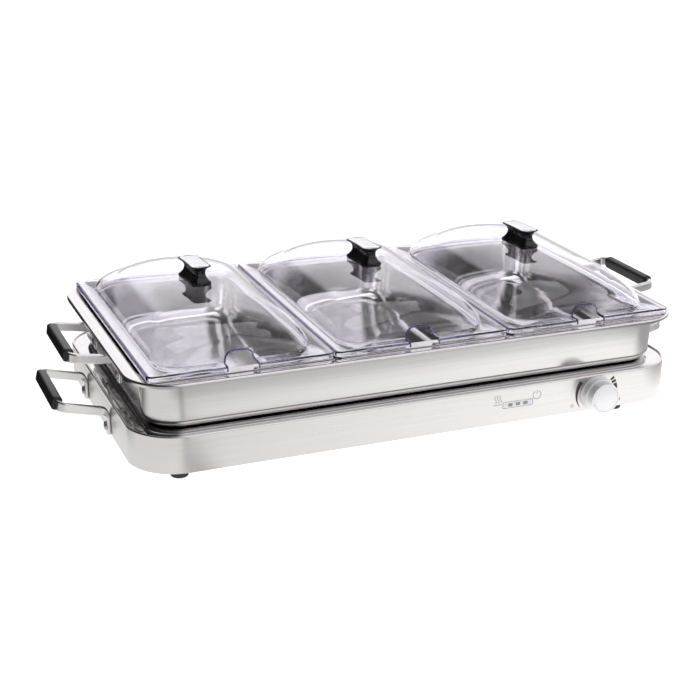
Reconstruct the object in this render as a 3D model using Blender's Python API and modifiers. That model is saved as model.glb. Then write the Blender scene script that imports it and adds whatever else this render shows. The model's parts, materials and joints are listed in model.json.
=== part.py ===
"""Electric buffet server: a heated base, a lift-off carrier with three pans, and three clear lids.

Metres, +Z up, +X along the length, -Y towards the front with its control knob.
The origin is on the ground, under the middle of the whole assembly's outer box.
"""

from math import cos, pi, radians, sin, tan

import bmesh
import bpy
from mathutils import Matrix, Vector

# Driving dimensions
PITCH = 0.180  # from one pan to the next
LID_GAP = 0.0012  # between neighbouring lids
LID_DEPTH = 0.311
GAP = 0.0003  # between pieces that rest on each other

# Heated base
BAND_X, BAND_Y, BAND_RADIUS = 0.2832, 0.1638, 0.0475  # half length, half depth, corner
BAND_BOTTOM, BAND_TOP = 0.0075, 0.0447
BAND_WALL = 0.0012
RIM_WIDTH = 0.0021  # rolled top edge of the band
LEDGE_WIDTH = 0.009
LIP_WIDTH = 0.022  # turned-in flange under the band
PLATE_THICKNESS = 0.0015
COVER_THICKNESS = 0.0012
FOOT_X = {"left": -0.242, "right": 0.215}  # the right pair stands further in
FOOT_Y, FOOT_RADIUS = 0.148, 0.0085

# Carrier and pans
CARRIER_X, CARRIER_Y, CARRIER_RADIUS = 0.2846, 0.1655, 0.0450
CARRIER_RIM_TOP = 0.0957
CARRIER_SHEET = 0.0010
CARRIER_SKIRT = 0.0040
CARRIER_OVERHANG = 0.0150  # flange beyond the wall
CARRIER_DRAFT = 0.0022
CARRIER_FLOOR_RADIUS = 0.0085
PAN_SHEET = 0.0008
PAN_FLANGE = 0.0145
PAN_DEPTH = 0.045

# Lids
LID_SHEET = 0.0020
LID_SKIRT = 0.0050
LID_FLANGE = 0.0155
LID_CORNER = 0.006
DOME_HEIGHT = 0.0352
DOME_CORNER, DOME_ROUNDING = 0.027, 0.20  # corner radius at the edge, and its growth towards the middle
NOTCH_WIDTH, NOTCH_HEIGHT, NOTCH_REACH = 0.031, 0.0150, 0.026

# Lid handles
LID_KNOB_X, LID_KNOB_Y, LID_KNOB_HEIGHT = 0.0107, 0.0235, 0.0200
LID_SCREW_RADIUS = 0.0016

# Side handles: a flat bar bent to a U, with drilled ends that bend down, and a soft sleeve
BAR_HALF_SPAN = 0.0500  # to the middle of each arm
BAR_HEIGHT, BAR_THICKNESS = 0.0092, 0.0048
TAB_THICKNESS, TAB_WIDTH, TAB_LENGTH = 0.0035, 0.0090, 0.0160
BAR_BEND, BAR_CORNER, BAR_EDGE = 0.0080, 0.0075, 0.0011
GRIP_HALF_LENGTH = 0.0418
GRIP_HEIGHT, GRIP_WIDTH, GRIP_EDGE = 0.0128, 0.0100, 0.0035
HANDLE_SCREW_RADIUS, HANDLE_HEAD_RADIUS = 0.0020, 0.0046
BASE_HANDLE_REACH, BASE_HANDLE_RISE = 0.0480, radians(14.0)
BASE_ARM_HEIGHT = 0.0340
CARRIER_HANDLE_REACH, CARRIER_HANDLE_RISE = 0.0478, radians(8.2)
CARRIER_ARM_HEIGHT = 0.0852

# Controls
KNOB_X, KNOB_Z = 0.1854, 0.0258
BEZEL_RADIUS, BEZEL_DEPTH = 0.0182, 0.0030
KNOB_RADIUS, KNOB_FACE_RADIUS = 0.0170, 0.0149
KNOB_REACH = 0.0195
KNOB_OFF_ANGLE = radians(201.0)
SHAFT_RADIUS = 0.0030
LENS_X, LENS_Z = 0.0974, 0.0267
LENS_WIDTH, LENS_HEIGHT, LENS_DEPTH = 0.0330, 0.0064, 0.0040
GLAND_X, GLAND_Z, GLAND_REACH = 0.2000, 0.0258, 0.0050

# Inside the base
ELEMENT_RADIUS, ELEMENT_Z = 0.0032, 0.0372
REFLECTOR_Z = 0.0282
TERMINAL_PLACE = (0.194, 0.133, 0.0178)

BODY_Y = (KNOB_REACH - GLAND_REACH) / 2  # puts the outer box's middle on the origin
CORNER_STEPS = 5

PAN_CENTRES = {1: -PITCH, 2: 0.0, 3: PITCH}
SIDES = {"left": -1, "right": 1}


# Scene and materials


def clear_scene():
    for item in list(bpy.data.objects):
        bpy.data.objects.remove(item, do_unlink=True)


def new_collection(name):
    collection = bpy.data.collections.new(name)
    bpy.context.scene.collection.children.link(collection)
    return collection


def material(name, colour, roughness, metallic=0.0, transmission=0.0):
    found = bpy.data.materials.get(name)
    if found:
        return found
    made = bpy.data.materials.new(name)
    made.use_nodes = True
    shader = made.node_tree.nodes["Principled BSDF"]
    shader.inputs["Base Color"].default_value = (*colour, 1.0)
    shader.inputs["Roughness"].default_value = roughness
    shader.inputs["Metallic"].default_value = metallic
    shader.inputs["Transmission Weight"].default_value = transmission
    return made


def brushed_steel():
    return material("brushed_steel", (0.62, 0.60, 0.58), 0.32, 1.0)


def polished_steel():
    return material("polished_steel", (0.72, 0.71, 0.70), 0.10, 1.0)


def plated_steel():
    return material("plated_steel", (0.55, 0.55, 0.56), 0.40, 1.0)


def satin_silver():
    return material("satin_silver", (0.70, 0.70, 0.71), 0.28, 0.9)


def clear_plastic():
    return material("clear_plastic", (0.90, 0.89, 0.94), 0.04, 0.0, 0.95)


def black_plastic():
    return material("black_plastic", (0.018, 0.018, 0.020), 0.22)


def black_grip():
    return material("black_grip", (0.030, 0.030, 0.030), 0.62)


def black_rubber():
    return material("black_rubber", (0.020, 0.020, 0.020), 0.75)


def smoked_lens():
    return material("smoked_lens", (0.55, 0.55, 0.56), 0.15)


def white_ceramic():
    return material("white_ceramic", (0.78, 0.77, 0.74), 0.55)


# Objects and shapes


def place(name, data, collection, parent, finish, location=(0, 0, 0)):
    item = bpy.data.objects.new(name, data)
    collection.objects.link(item)
    item.parent = parent
    item.location = location
    if finish:
        item.data.materials.append(finish)
    return item


def rounded_rectangle(half_x, half_y, radius, z=0.0, steps=CORNER_STEPS):
    """Anticlockwise outline of a rounded rectangle, as points at height z."""
    radius = min(radius, half_x, half_y)
    outline = []
    for corner in range(4):
        side_x = 1 if corner in (0, 3) else -1
        side_y = 1 if corner in (0, 1) else -1
        for step in range(steps + 1):
            angle = (corner + step / steps) * pi / 2
            x = side_x * (half_x - radius) + radius * cos(angle)
            y = side_y * (half_y - radius) + radius * sin(angle)
            outline.append(Vector((x, y, z)))
    return outline


def loft(name, rings, closed=False, cap_first=False, cap_last=False):
    """Skin between rings of equally many points. The visible side is on the left, going down."""
    shape = bmesh.new()
    loops = [[shape.verts.new(point) for point in ring] for ring in rings]
    count = len(loops[0])
    pairs = list(zip(loops, loops[1:]))
    if closed:
        pairs.append((loops[-1], loops[0]))
    for upper, lower in pairs:
        for i in range(count):
            j = (i + 1) % count
            shape.faces.new((upper[i], lower[i], lower[j], upper[j]))
    if cap_first:
        shape.faces.new(loops[0])
    if cap_last:
        shape.faces.new(loops[-1][::-1])
    mesh = bpy.data.meshes.new(name)
    shape.to_mesh(mesh)
    shape.free()
    smooth(mesh)
    return mesh


def smooth(mesh, angle=radians(35)):
    mesh.shade_smooth()
    mesh.set_sharp_from_angle(angle=angle)


def thicken(item, thickness):
    solidify = item.modifiers.new("sheet", "SOLIDIFY")
    solidify.thickness = thickness
    solidify.offset = -1
    solidify.use_even_offset = True


def ring_of_section(name, half_x, half_y, radius, section):
    """A closed section of (inset, z) points carried round a rounded rectangle."""
    rings = [
        rounded_rectangle(half_x - inset, half_y - inset, radius - inset, z) for inset, z in section
    ]
    return loft(name, rings, closed=True)


def place_turned(name, profile, collection, parent, finish, location, steps):
    """A piece turned about its local Z from an outer profile of (radius, z) points, top to bottom."""
    mesh = bpy.data.meshes.new(name)
    points = [(radius, 0.0, z) for radius, z in profile]
    mesh.from_pydata(points, [(i, i + 1) for i in range(len(points) - 1)], [])
    item = place(name, mesh, collection, parent, finish, location)
    screw = item.modifiers.new("turn", "SCREW")
    screw.steps = steps
    screw.render_steps = steps
    screw.use_merge_vertices = True
    screw.merge_threshold = 0.00001
    screw.use_smooth_shade = True
    return item


def block(name, size, bevel=0.0):
    """A box of full sizes about its middle, with its edges rounded when bevel is given."""
    shape = bmesh.new()
    bmesh.ops.create_cube(shape, size=1.0, matrix=Matrix.Diagonal((*size, 1.0)))
    if bevel:
        bmesh.ops.bevel(shape, geom=shape.edges[:], offset=bevel, segments=2, affect="EDGES", profile=0.5)
    mesh = bpy.data.meshes.new(name)
    shape.to_mesh(mesh)
    shape.free()
    return mesh


def rod(name, radius, length, axis="Z", steps=16):
    """A cylinder about its middle, along one axis."""
    shape = bmesh.new()
    bmesh.ops.create_cone(
        shape, cap_ends=True, segments=steps, radius1=radius, radius2=radius, depth=length
    )
    if axis == "X":
        bmesh.ops.rotate(shape, verts=shape.verts, matrix=Matrix.Rotation(pi / 2, 3, "Y"))
    if axis == "Y":
        bmesh.ops.rotate(shape, verts=shape.verts, matrix=Matrix.Rotation(pi / 2, 3, "X"))
    mesh = bpy.data.meshes.new(name)
    shape.to_mesh(mesh)
    shape.free()
    return mesh


def flat_outline(name, outlines, thickness):
    """A 2D curve filled between its outlines and extruded to a thickness along its Z."""
    curve = bpy.data.curves.new(name, "CURVE")
    curve.dimensions = "2D"
    curve.fill_mode = "BOTH"
    curve.extrude = thickness / 2
    for outline in outlines:
        spline = curve.splines.new("POLY")
        spline.points.add(len(outline) - 1)
        for point, at in zip(spline.points, outline):
            point.co = (at[0], at[1], 0.0, 1.0)
        spline.use_cyclic_u = True
    return curve


def cutter(name, mesh, cutters, parent, location):
    item = place(name, mesh, cutters, parent, None, location)
    item.hide_render = True
    item.display_type = "WIRE"
    return item


def boolean(item, other, operation="DIFFERENCE"):
    modifier = item.modifiers.new(other.name, "BOOLEAN")
    modifier.operation = operation
    modifier.solver = "EXACT"
    modifier.object = other


def bore(item, tag, radius, length, axis, location, cutters, parent, steps=16):
    mesh = rod(f"{tag}_bore", radius, length, axis, steps)
    boolean(item, cutter(f"{tag}_bore", mesh, cutters, parent, location))


# Heated base


def band_section():
    bottom, top = BAND_BOTTOM, BAND_TOP
    ledge = top - PLATE_THICKNESS - GAP
    under = ledge - BAND_WALL
    return [
        (LEDGE_WIDTH, ledge),
        (RIM_WIDTH, ledge),
        (RIM_WIDTH, top - 0.0004),
        (RIM_WIDTH * 0.6, top),
        (0.0005, top - 0.0004),
        (0.0, top - 0.0013),
        (0.0, bottom + 0.0013),
        (0.0013, bottom),
        (LIP_WIDTH, bottom),
        (LIP_WIDTH, bottom + BAND_WALL),
        (BAND_WALL, bottom + BAND_WALL),
        (BAND_WALL, under),
        (LEDGE_WIDTH, under),
    ]


def make_band(parts, cutters, root):
    mesh = ring_of_section("base_band", BAND_X, BAND_Y, BAND_RADIUS, band_section())
    band = place("base_band", mesh, parts, root, brushed_steel())
    bore(band, "band_shaft", 0.0060, 0.012, "Y", (KNOB_X, -BAND_Y, KNOB_Z), cutters, root)
    bore(band, "band_gland", 0.0070, 0.012, "Y", (GLAND_X, BAND_Y, GLAND_Z), cutters, root)
    window = block("band_window", (LENS_WIDTH + 2 * GAP, 0.012, LENS_HEIGHT + 2 * GAP))
    boolean(band, cutter("band_window", window, cutters, root, (LENS_X, -BAND_Y, LENS_Z)))
    for name, x, y in foot_places():
        hole = (x, y, BAND_BOTTOM)
        bore(band, f"band_{name}", 0.0024, 0.006, "Z", hole, cutters, root, 12)
    return band


def make_plate(parts, root):
    inset = RIM_WIDTH + 0.0006
    top = BAND_TOP - GAP / 2
    corner = BAND_RADIUS - inset
    edge = [
        rounded_rectangle(BAND_X - inset - 0.0005, BAND_Y - inset - 0.0005, corner - 0.0005, top),
        rounded_rectangle(BAND_X - inset, BAND_Y - inset, corner, top - 0.0005),
        rounded_rectangle(BAND_X - inset, BAND_Y - inset, corner, BAND_TOP - PLATE_THICKNESS),
    ]
    mesh = loft("warming_plate", edge, cap_first=True, cap_last=True)
    place("warming_plate", mesh, parts, root, polished_steel())


def make_bottom_cover(parts, cutters, root):
    inset = BAND_WALL + 0.0010
    low = BAND_BOTTOM + BAND_WALL + GAP
    ring = (BAND_X - inset, BAND_Y - inset, BAND_RADIUS - inset)
    rings = [rounded_rectangle(*ring, low + COVER_THICKNESS), rounded_rectangle(*ring, low)]
    mesh = loft("bottom_cover", rings, cap_first=True, cap_last=True)
    cover = place("bottom_cover", mesh, parts, root, plated_steel())
    for row in (-1, 1):
        for column in range(-3, 4):
            tag = f"vent_{row + 1}_{column + 3}"
            slot = block(tag, (0.004, 0.030, 0.008))
            boolean(cover, cutter(tag, slot, cutters, root, (column * 0.012, row * 0.060, low)))
    for name, x, y in foot_places():
        bore(cover, f"cover_{name}", 0.0024, 0.008, "Z", (x, y, low), cutters, root, 12)


def foot_places():
    """The four feet as (name, x, y)."""
    for end, side_y in (("front", -1), ("rear", 1)):
        for side, x in FOOT_X.items():
            yield f"foot_{end}_{side}", x, side_y * FOOT_Y


def make_feet(parts, root):
    top = BAND_BOTTOM - GAP
    hole, recess = 0.0024, 0.0046
    foot = [
        (hole, top),
        (FOOT_RADIUS, top),
        (FOOT_RADIUS, 0.0010),
        (FOOT_RADIUS - 0.0010, 0.0),
        (recess, 0.0),
        (recess, top - 0.0018),
        (hole, top - 0.0018),
        (hole, top),
    ]
    head_top = top - 0.0018 - GAP
    tip = BAND_BOTTOM + BAND_WALL + COVER_THICKNESS + 0.0060
    screw = [
        (0.0, tip),
        (0.0016, tip - 0.0006),
        (0.0016, head_top),
        (0.0040, head_top),
        (0.0036, head_top - 0.0016),
        (0.0, head_top - 0.0018),
    ]
    for name, x, y in foot_places():
        place_turned(name, foot, parts, root, black_rubber(), (x, y, 0), 16)
        place_turned(name.replace("foot", "foot_screw"), screw, parts, root, plated_steel(), (x, y, 0), 12)


# Inside the base


def element_route():
    """Four straight runs joined by half-circle turns, with both cold ends on the right."""
    reach, turn, cold_end = 0.205, 0.025, 0.030
    rows = [turn * (2 * index - 3) for index in range(4)]
    route = [Vector((reach + cold_end, rows[0], 0))]
    for index in range(3):
        low, high = rows[index], rows[index + 1]
        side = -1 if index % 2 == 0 else 1
        for step in range(9):
            angle = -pi / 2 + pi * step / 8
            x = side * (reach + turn * cos(angle))
            route.append(Vector((x, (low + high) / 2 + turn * sin(angle), 0)))
    route.append(Vector((reach + cold_end, rows[-1], 0)))
    return route


def make_element(parts, root):
    curve = bpy.data.curves.new("heating_element", "CURVE")
    curve.dimensions = "3D"
    curve.bevel_depth = ELEMENT_RADIUS
    curve.bevel_resolution = 2
    curve.use_fill_caps = True
    route = element_route()
    spline = curve.splines.new("POLY")
    spline.points.add(len(route) - 1)
    for point, at in zip(spline.points, route):
        point.co = (*at, 1.0)
    place("heating_element", curve, parts, root, plated_steel(), (0, 0, ELEMENT_Z))


def make_element_clamps(parts, root):
    low = ELEMENT_Z - ELEMENT_RADIUS - GAP - 0.0010
    top = BAND_TOP - PLATE_THICKNESS - 2 * GAP
    reach, foot, sheet = 0.086, 0.012, 0.0010
    hat = [
        (-reach - foot, top),
        (-reach - foot, top - sheet),
        (-reach - sheet, top - sheet),
        (-reach - sheet, low),
        (reach + sheet, low),
        (reach + sheet, top - sheet),
        (reach + foot, top - sheet),
        (reach + foot, top),
        (reach, top),
        (reach, low + sheet),
        (-reach, low + sheet),
        (-reach, top),
    ]
    for side, sign in SIDES.items():
        name = f"element_clamp_{side}"
        clamp = place(name, flat_outline(name, [hat], 0.012), parts, root, plated_steel())
        clamp.rotation_euler = (pi / 2, 0, pi / 2)
        clamp.location = (sign * 0.110, 0, 0)


def make_reflector(parts, root):
    half_x, half_y, corner, lift = 0.252, 0.118, 0.020, 0.0030
    rings = [
        rounded_rectangle(half_x, half_y, corner, REFLECTOR_Z + lift, 3),
        rounded_rectangle(half_x - 0.001, half_y - 0.001, corner, REFLECTOR_Z, 3),
    ]
    reflector = place(
        "reflector_plate", loft("reflector_plate", rings, cap_last=True), parts, root, plated_steel()
    )
    thicken(reflector, 0.0008)


def make_thermostat(parts, cutters, root):
    depth, front = 0.018, -BAND_Y + 0.0105
    case = place(
        "thermostat_body",
        block("thermostat_body", (0.030, depth, 0.020), 0.0012),
        parts,
        root,
        white_ceramic(),
        (KNOB_X, front + depth / 2, KNOB_Z),
    )
    neck_length = 0.0110
    neck = rod("thermostat_neck", 0.0048, neck_length, "Y", 20)
    neck_place = (KNOB_X, front - neck_length / 2 + 0.0040, KNOB_Z)
    boolean(case, cutter("thermostat_neck", neck, cutters, root, neck_place), "UNION")
    bore(
        case,
        "thermostat_shaft",
        SHAFT_RADIUS + GAP,
        0.030,
        "Y",
        (KNOB_X, front - 0.0050, KNOB_Z),
        cutters,
        root,
    )
    floor = BAND_BOTTOM + BAND_WALL + COVER_THICKNESS + 2 * GAP
    sheet = 0.0012
    back = front - GAP
    angle = [
        (back, KNOB_Z + 0.009),
        (back - sheet, KNOB_Z + 0.009),
        (back - sheet, floor),
        (back + 0.016, floor),
        (back + 0.016, floor + sheet),
        (back, floor + sheet),
    ]
    bracket_mesh = mesh_of_curve(flat_outline("thermostat_bracket", [angle], 0.024))
    bracket = place("thermostat_bracket", bracket_mesh, parts, root, plated_steel(), (KNOB_X, 0, 0))
    bracket.rotation_euler = (pi / 2, 0, pi / 2)
    hole = (KNOB_X, back, KNOB_Z)
    bore(bracket, "bracket_neck", 0.0048 + GAP, 0.006, "Y", hole, cutters, root, 20)


def mesh_of_curve(curve):
    """The curve's solid as a mesh with its caps welded on."""
    holder = bpy.data.objects.new("curve_holder", curve)
    bpy.context.scene.collection.objects.link(holder)
    graph = bpy.context.evaluated_depsgraph_get()
    mesh = bpy.data.meshes.new_from_object(holder.evaluated_get(graph))
    name = curve.name
    bpy.data.objects.remove(holder)
    bpy.data.curves.remove(curve)
    mesh.name = name
    shape = bmesh.new()
    shape.from_mesh(mesh)
    bmesh.ops.remove_doubles(shape, verts=shape.verts, dist=0.00001)
    shape.to_mesh(mesh)
    shape.free()
    return mesh


def make_small_electrics(parts, cutters, root):
    lamp_depth = 0.009
    lamp_y = -BAND_Y + LENS_DEPTH + GAP + lamp_depth / 2
    place(
        "indicator_lamp",
        block("indicator_lamp", (0.026, lamp_depth, 0.008), 0.0010),
        parts,
        root,
        white_ceramic(),
        (LENS_X, lamp_y, LENS_Z),
    )
    terminal = place(
        "terminal_block",
        block("terminal_block", (0.036, 0.016, 0.013), 0.0012),
        parts,
        root,
        white_ceramic(),
        TERMINAL_PLACE,
    )
    for index in range(3):
        at = (TERMINAL_PLACE[0] + (index - 1) * 0.010, *TERMINAL_PLACE[1:])
        bore(terminal, f"terminal_{index}", 0.0018, 0.020, "Y", at, cutters, root, 12)
    fuse = [
        (0.0, 0.0080),
        (0.0006, 0.0080),
        (0.0006, 0.0058),
        (0.0020, 0.0050),
        (0.0020, -0.0050),
        (0.0006, -0.0058),
        (0.0006, -0.0080),
        (0.0, -0.0080),
    ]
    fuse_item = place_turned("thermal_fuse", fuse, parts, root, plated_steel(), (0.030, 0, ELEMENT_Z + 0.0032), 12)
    fuse_item.rotation_euler = (0, pi / 2, 0)


# Controls


def make_lens(parts, root):
    proud = 0.0004
    place(
        "indicator_lens",
        block("indicator_lens", (LENS_WIDTH, LENS_DEPTH + proud, LENS_HEIGHT)),
        parts,
        root,
        smoked_lens(),
        (LENS_X, -BAND_Y + (LENS_DEPTH - proud) / 2, LENS_Z),
    )


def make_bezel(parts, root):
    """A fixed ring round the knob, turned about the shaft and facing the front."""
    hole = 0.0064
    bezel = [
        (hole, BEZEL_DEPTH),
        (BEZEL_RADIUS - 0.0008, BEZEL_DEPTH),
        (BEZEL_RADIUS, BEZEL_DEPTH - 0.0008),
        (BEZEL_RADIUS, GAP),
        (hole, GAP),
        (hole, BEZEL_DEPTH),
    ]
    place_facing_front("knob_bezel", bezel, parts, root, satin_silver(), 24, (KNOB_X, -BAND_Y, KNOB_Z))


def place_facing_front(name, profile, parts, parent, finish, steps, location):
    item = place_turned(name, profile, parts, parent, finish, location, steps)
    item.rotation_euler = (pi / 2, 0, 0)
    return item


def make_knob(parts, cutters, root):
    """The knob, its cap and the shaft, all turned about the shaft's axis."""
    axle = bpy.data.objects.new("knob_axis", None)
    parts.objects.link(axle)
    axle.parent = root
    axle.location = (KNOB_X, -BAND_Y, KNOB_Z)
    back = BEZEL_DEPTH + GAP
    bore_end = 0.0130
    recess = 0.0125
    body = [
        (recess, KNOB_REACH),
        (KNOB_FACE_RADIUS - 0.0007, KNOB_REACH),
        (KNOB_FACE_RADIUS, KNOB_REACH - 0.0007),
        (KNOB_FACE_RADIUS + 0.0004, 0.0120),
        (KNOB_RADIUS - 0.0016, 0.0112),
        (KNOB_RADIUS - 0.0016, 0.0098),
        (KNOB_RADIUS - 0.0006, 0.0092),
        (KNOB_RADIUS, 0.0084),
        (KNOB_RADIUS, back),
        (SHAFT_RADIUS + GAP, back),
        (SHAFT_RADIUS + GAP, bore_end),
        (0.0, bore_end),
    ]
    front = [(0.0, KNOB_REACH - 0.0012), (recess, KNOB_REACH - 0.0012)]
    origin = (0, 0, 0)
    knob = place_facing_front("control_knob", front + body, parts, axle, satin_silver(), 24, origin)
    pointer = block("pointer_groove", (0.0050, 0.0016, 0.0020))
    groove = cutter("pointer_groove", pointer, cutters, axle, origin)
    radius = KNOB_FACE_RADIUS - 0.0010
    groove.location = (radius * cos(KNOB_OFF_ANGLE), -KNOB_REACH, radius * sin(KNOB_OFF_ANGLE))
    groove.rotation_euler = (0, -KNOB_OFF_ANGLE, 0)
    boolean(knob, groove)
    cap_back = KNOB_REACH - 0.0012 + GAP
    cap_radius = recess - GAP
    cap = [
        (0.0, KNOB_REACH - 0.0001),
        (cap_radius - 0.0004, KNOB_REACH - 0.0001),
        (cap_radius, KNOB_REACH - 0.0005),
        (cap_radius, cap_back),
        (0.0, cap_back),
    ]
    place_facing_front("knob_cap", cap, parts, axle, satin_silver(), 24, origin)
    shaft = [
        (0.0, bore_end - GAP),
        (SHAFT_RADIUS, bore_end - GAP),
        (SHAFT_RADIUS, -0.0170),
        (0.0, -0.0170),
    ]
    place_facing_front("thermostat_shaft", shaft, parts, axle, plated_steel(), 16, origin)


def make_gland(parts, root):
    """A bush through the rear wall, where a supply cord would enter."""
    hole = 0.0042
    neck = 0.0066
    flange = 0.0105
    gland = [
        (hole, GLAND_REACH),
        (flange - 0.0015, GLAND_REACH),
        (flange, GLAND_REACH - 0.0015),
        (flange, GAP),
        (neck, GAP),
        (neck, -BAND_WALL - GAP),
        (neck + 0.0016, -BAND_WALL - GAP),
        (neck + 0.0016, -0.0060),
        (hole, -0.0060),
        (hole, GLAND_REACH),
    ]
    item = place_turned(
        "cord_gland", gland, parts, root, black_plastic(), (GLAND_X, BAND_Y, GLAND_Z), 16
    )
    item.rotation_euler = (-pi / 2, 0, 0)


# Side handles


def arm_start(rise, arm_height):
    """Where a handle's arm leaves its bend, as (out from the wall, up)."""
    sweep = pi / 2 - rise
    out = GAP + TAB_THICKNESS / 2 + BAR_BEND * (1 - cos(sweep))
    return out, arm_height - BAR_BEND * (1 - sin(sweep))


def handle_path(reach, rise, arm_height):
    """Half of a handle's middle line as (place, direction, share), from a tab's end to the grip.

    X is outwards from the wall's face and Y runs along the grip. share grows from 0 on the flat
    tab to 1 on the arm.
    """
    tab_out, bend_up = GAP + TAB_THICKNESS / 2, arm_height - BAR_BEND
    upright = Vector((0, 0, 1))
    path = [(Vector((tab_out, -BAR_HALF_SPAN, bend_up - drop)), upright, 0.0) for drop in (TAB_LENGTH, 0)]
    bend_steps, corner_steps = 5, 4
    for step in range(1, bend_steps + 1):
        angle = (pi / 2 - rise) * step / bend_steps
        out = tab_out + BAR_BEND * (1 - cos(angle))
        at = Vector((out, -BAR_HALF_SPAN, bend_up + BAR_BEND * sin(angle)))
        path.append((at, Vector((sin(angle), 0, cos(angle))), step / bend_steps))
    arm_out, arm_up = arm_start(rise, arm_height)
    slope = Vector((cos(rise), 0, sin(rise)))
    arm_length = (reach - BAR_CORNER - arm_out) / cos(rise)
    corner = Vector((arm_out, -BAR_HALF_SPAN, arm_up)) + slope * arm_length
    for step in range(corner_steps + 1):
        angle = pi / 2 * step / corner_steps
        at = corner + slope * (BAR_CORNER * sin(angle)) + Vector((0, BAR_CORNER * (1 - cos(angle)), 0))
        path.append((at, slope * cos(angle) + Vector((0, sin(angle), 0)), 1.0))
    return path


def handle_bar(name, reach, rise, arm_height):
    """The bar's mesh: its section carried along one half of the path and back along the other."""
    half = handle_path(reach, rise, arm_height)
    mirrored = [
        (Vector((at.x, -at.y, at.z)), Vector((-way.x, way.y, -way.z)), share)
        for at, way, share in reversed(half)
    ]
    rings = []
    for index, (at, way, share) in enumerate(half + mirrored):
        side = 1 if index < len(half) else -1
        up = Vector((-way.z, 0, way.x)) * side if share < 1 else Vector((-sin(rise), 0, cos(rise)))
        across = way.cross(up)
        height = TAB_THICKNESS + (BAR_HEIGHT - TAB_THICKNESS) * share
        width = TAB_WIDTH + (BAR_THICKNESS - TAB_WIDTH) * share
        section = rounded_rectangle(width / 2, height / 2, BAR_EDGE, steps=1)
        rings.append([at + across * point.x + up * point.y for point in section])
    return loft(name, rings[::-1], cap_first=True, cap_last=True)


def make_handles(group, wall, reach, rise, arm_height, parts, cutters, parent):
    """Left and right handles of one tray, each a bar, a sleeve and two screws."""
    for side, sign in SIDES.items():
        name = f"{group}_handle_{side}"
        mesh = handle_bar(name, reach, rise, arm_height)
        bar = place(name, mesh, parts, parent, satin_silver(), (sign * wall, 0, 0))
        bar.rotation_euler = (0, 0, 0 if sign > 0 else pi)
        make_grip(f"{group}_grip_{side}", wall, reach, rise, arm_height, sign, parts, parent)
        screw_z = arm_height - BAR_BEND - TAB_LENGTH / 2
        for end, y in (("front", -BAR_HALF_SPAN), ("rear", BAR_HALF_SPAN)):
            tag = f"{group}_screw_{side}_{end}"
            at = (sign * wall, y, screw_z)
            bore(bar, f"{tag}_tab", HANDLE_SCREW_RADIUS + GAP, 0.012, "X", at, cutters, parent, 12)
            make_handle_screw(tag, at, sign, parts, parent)


def make_grip(name, wall, reach, rise, arm_height, sign, parts, parent):
    """A sleeve over the bar's straight part."""
    outer = rounded_rectangle(GRIP_WIDTH / 2, GRIP_HEIGHT / 2, GRIP_EDGE, steps=3)
    hollow = rounded_rectangle(BAR_THICKNESS / 2 + GAP, BAR_HEIGHT / 2 + GAP, BAR_EDGE, steps=1)
    curve = flat_outline(name, [outer, hollow], 2 * GRIP_HALF_LENGTH)
    arm_out, arm_up = arm_start(rise, arm_height)
    height = arm_up + (reach - arm_out) * tan(rise)
    grip = place(name, curve, parts, parent, black_grip(), (sign * (wall + reach), 0, height))
    grip.rotation_euler = (pi / 2, -sign * rise, 0)


def make_handle_screw(name, at, sign, parts, parent):
    """A pan-head screw through the tab and the wall, turned about local Z, which points outwards."""
    seat = GAP + TAB_THICKNESS + GAP
    head = [
        (0.0, seat + 0.0022),
        (HANDLE_HEAD_RADIUS * 0.72, seat + 0.0019),
        (HANDLE_HEAD_RADIUS, seat + 0.0010),
        (HANDLE_HEAD_RADIUS, seat),
        (HANDLE_SCREW_RADIUS, seat),
        (HANDLE_SCREW_RADIUS, -0.0060),
        (0.0, -0.0066),
    ]
    screw = place_turned(name, head, parts, parent, plated_steel(), at, 16)
    screw.rotation_euler = (0, sign * pi / 2, 0)


# Carrier, pans and lids


def carrier_rings():
    sheet = CARRIER_SHEET
    under = CARRIER_RIM_TOP - sheet
    wall_x, wall_y = CARRIER_X - CARRIER_OVERHANG, CARRIER_Y - CARRIER_OVERHANG
    wall_radius = CARRIER_RADIUS - CARRIER_OVERHANG + 0.004
    low = BAND_TOP + GAP
    rings = [
        (CARRIER_X - sheet, CARRIER_Y - sheet, CARRIER_RADIUS - sheet, CARRIER_RIM_TOP - CARRIER_SKIRT),
        (CARRIER_X - sheet, CARRIER_Y - sheet, CARRIER_RADIUS - sheet, under),
        (wall_x + 0.002, wall_y + 0.002, wall_radius + 0.002, under),
        (wall_x, wall_y, wall_radius, under - 0.002),
    ]
    radius = CARRIER_FLOOR_RADIUS
    steps = 3
    for step in range(steps + 1):
        angle = pi / 2 * step / steps
        inset = CARRIER_DRAFT + radius * (1 - cos(angle))
        rings.append(
            (wall_x - inset, wall_y - inset, wall_radius - inset / 2, low + radius * (1 - sin(angle)))
        )
    return [rounded_rectangle(*ring) for ring in rings]


def make_carrier(parts, root):
    mesh = loft("carrier_tray", carrier_rings(), cap_last=True)
    tray = place("carrier_tray", mesh, parts, root, brushed_steel())
    thicken(tray, CARRIER_SHEET)
    return tray


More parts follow.
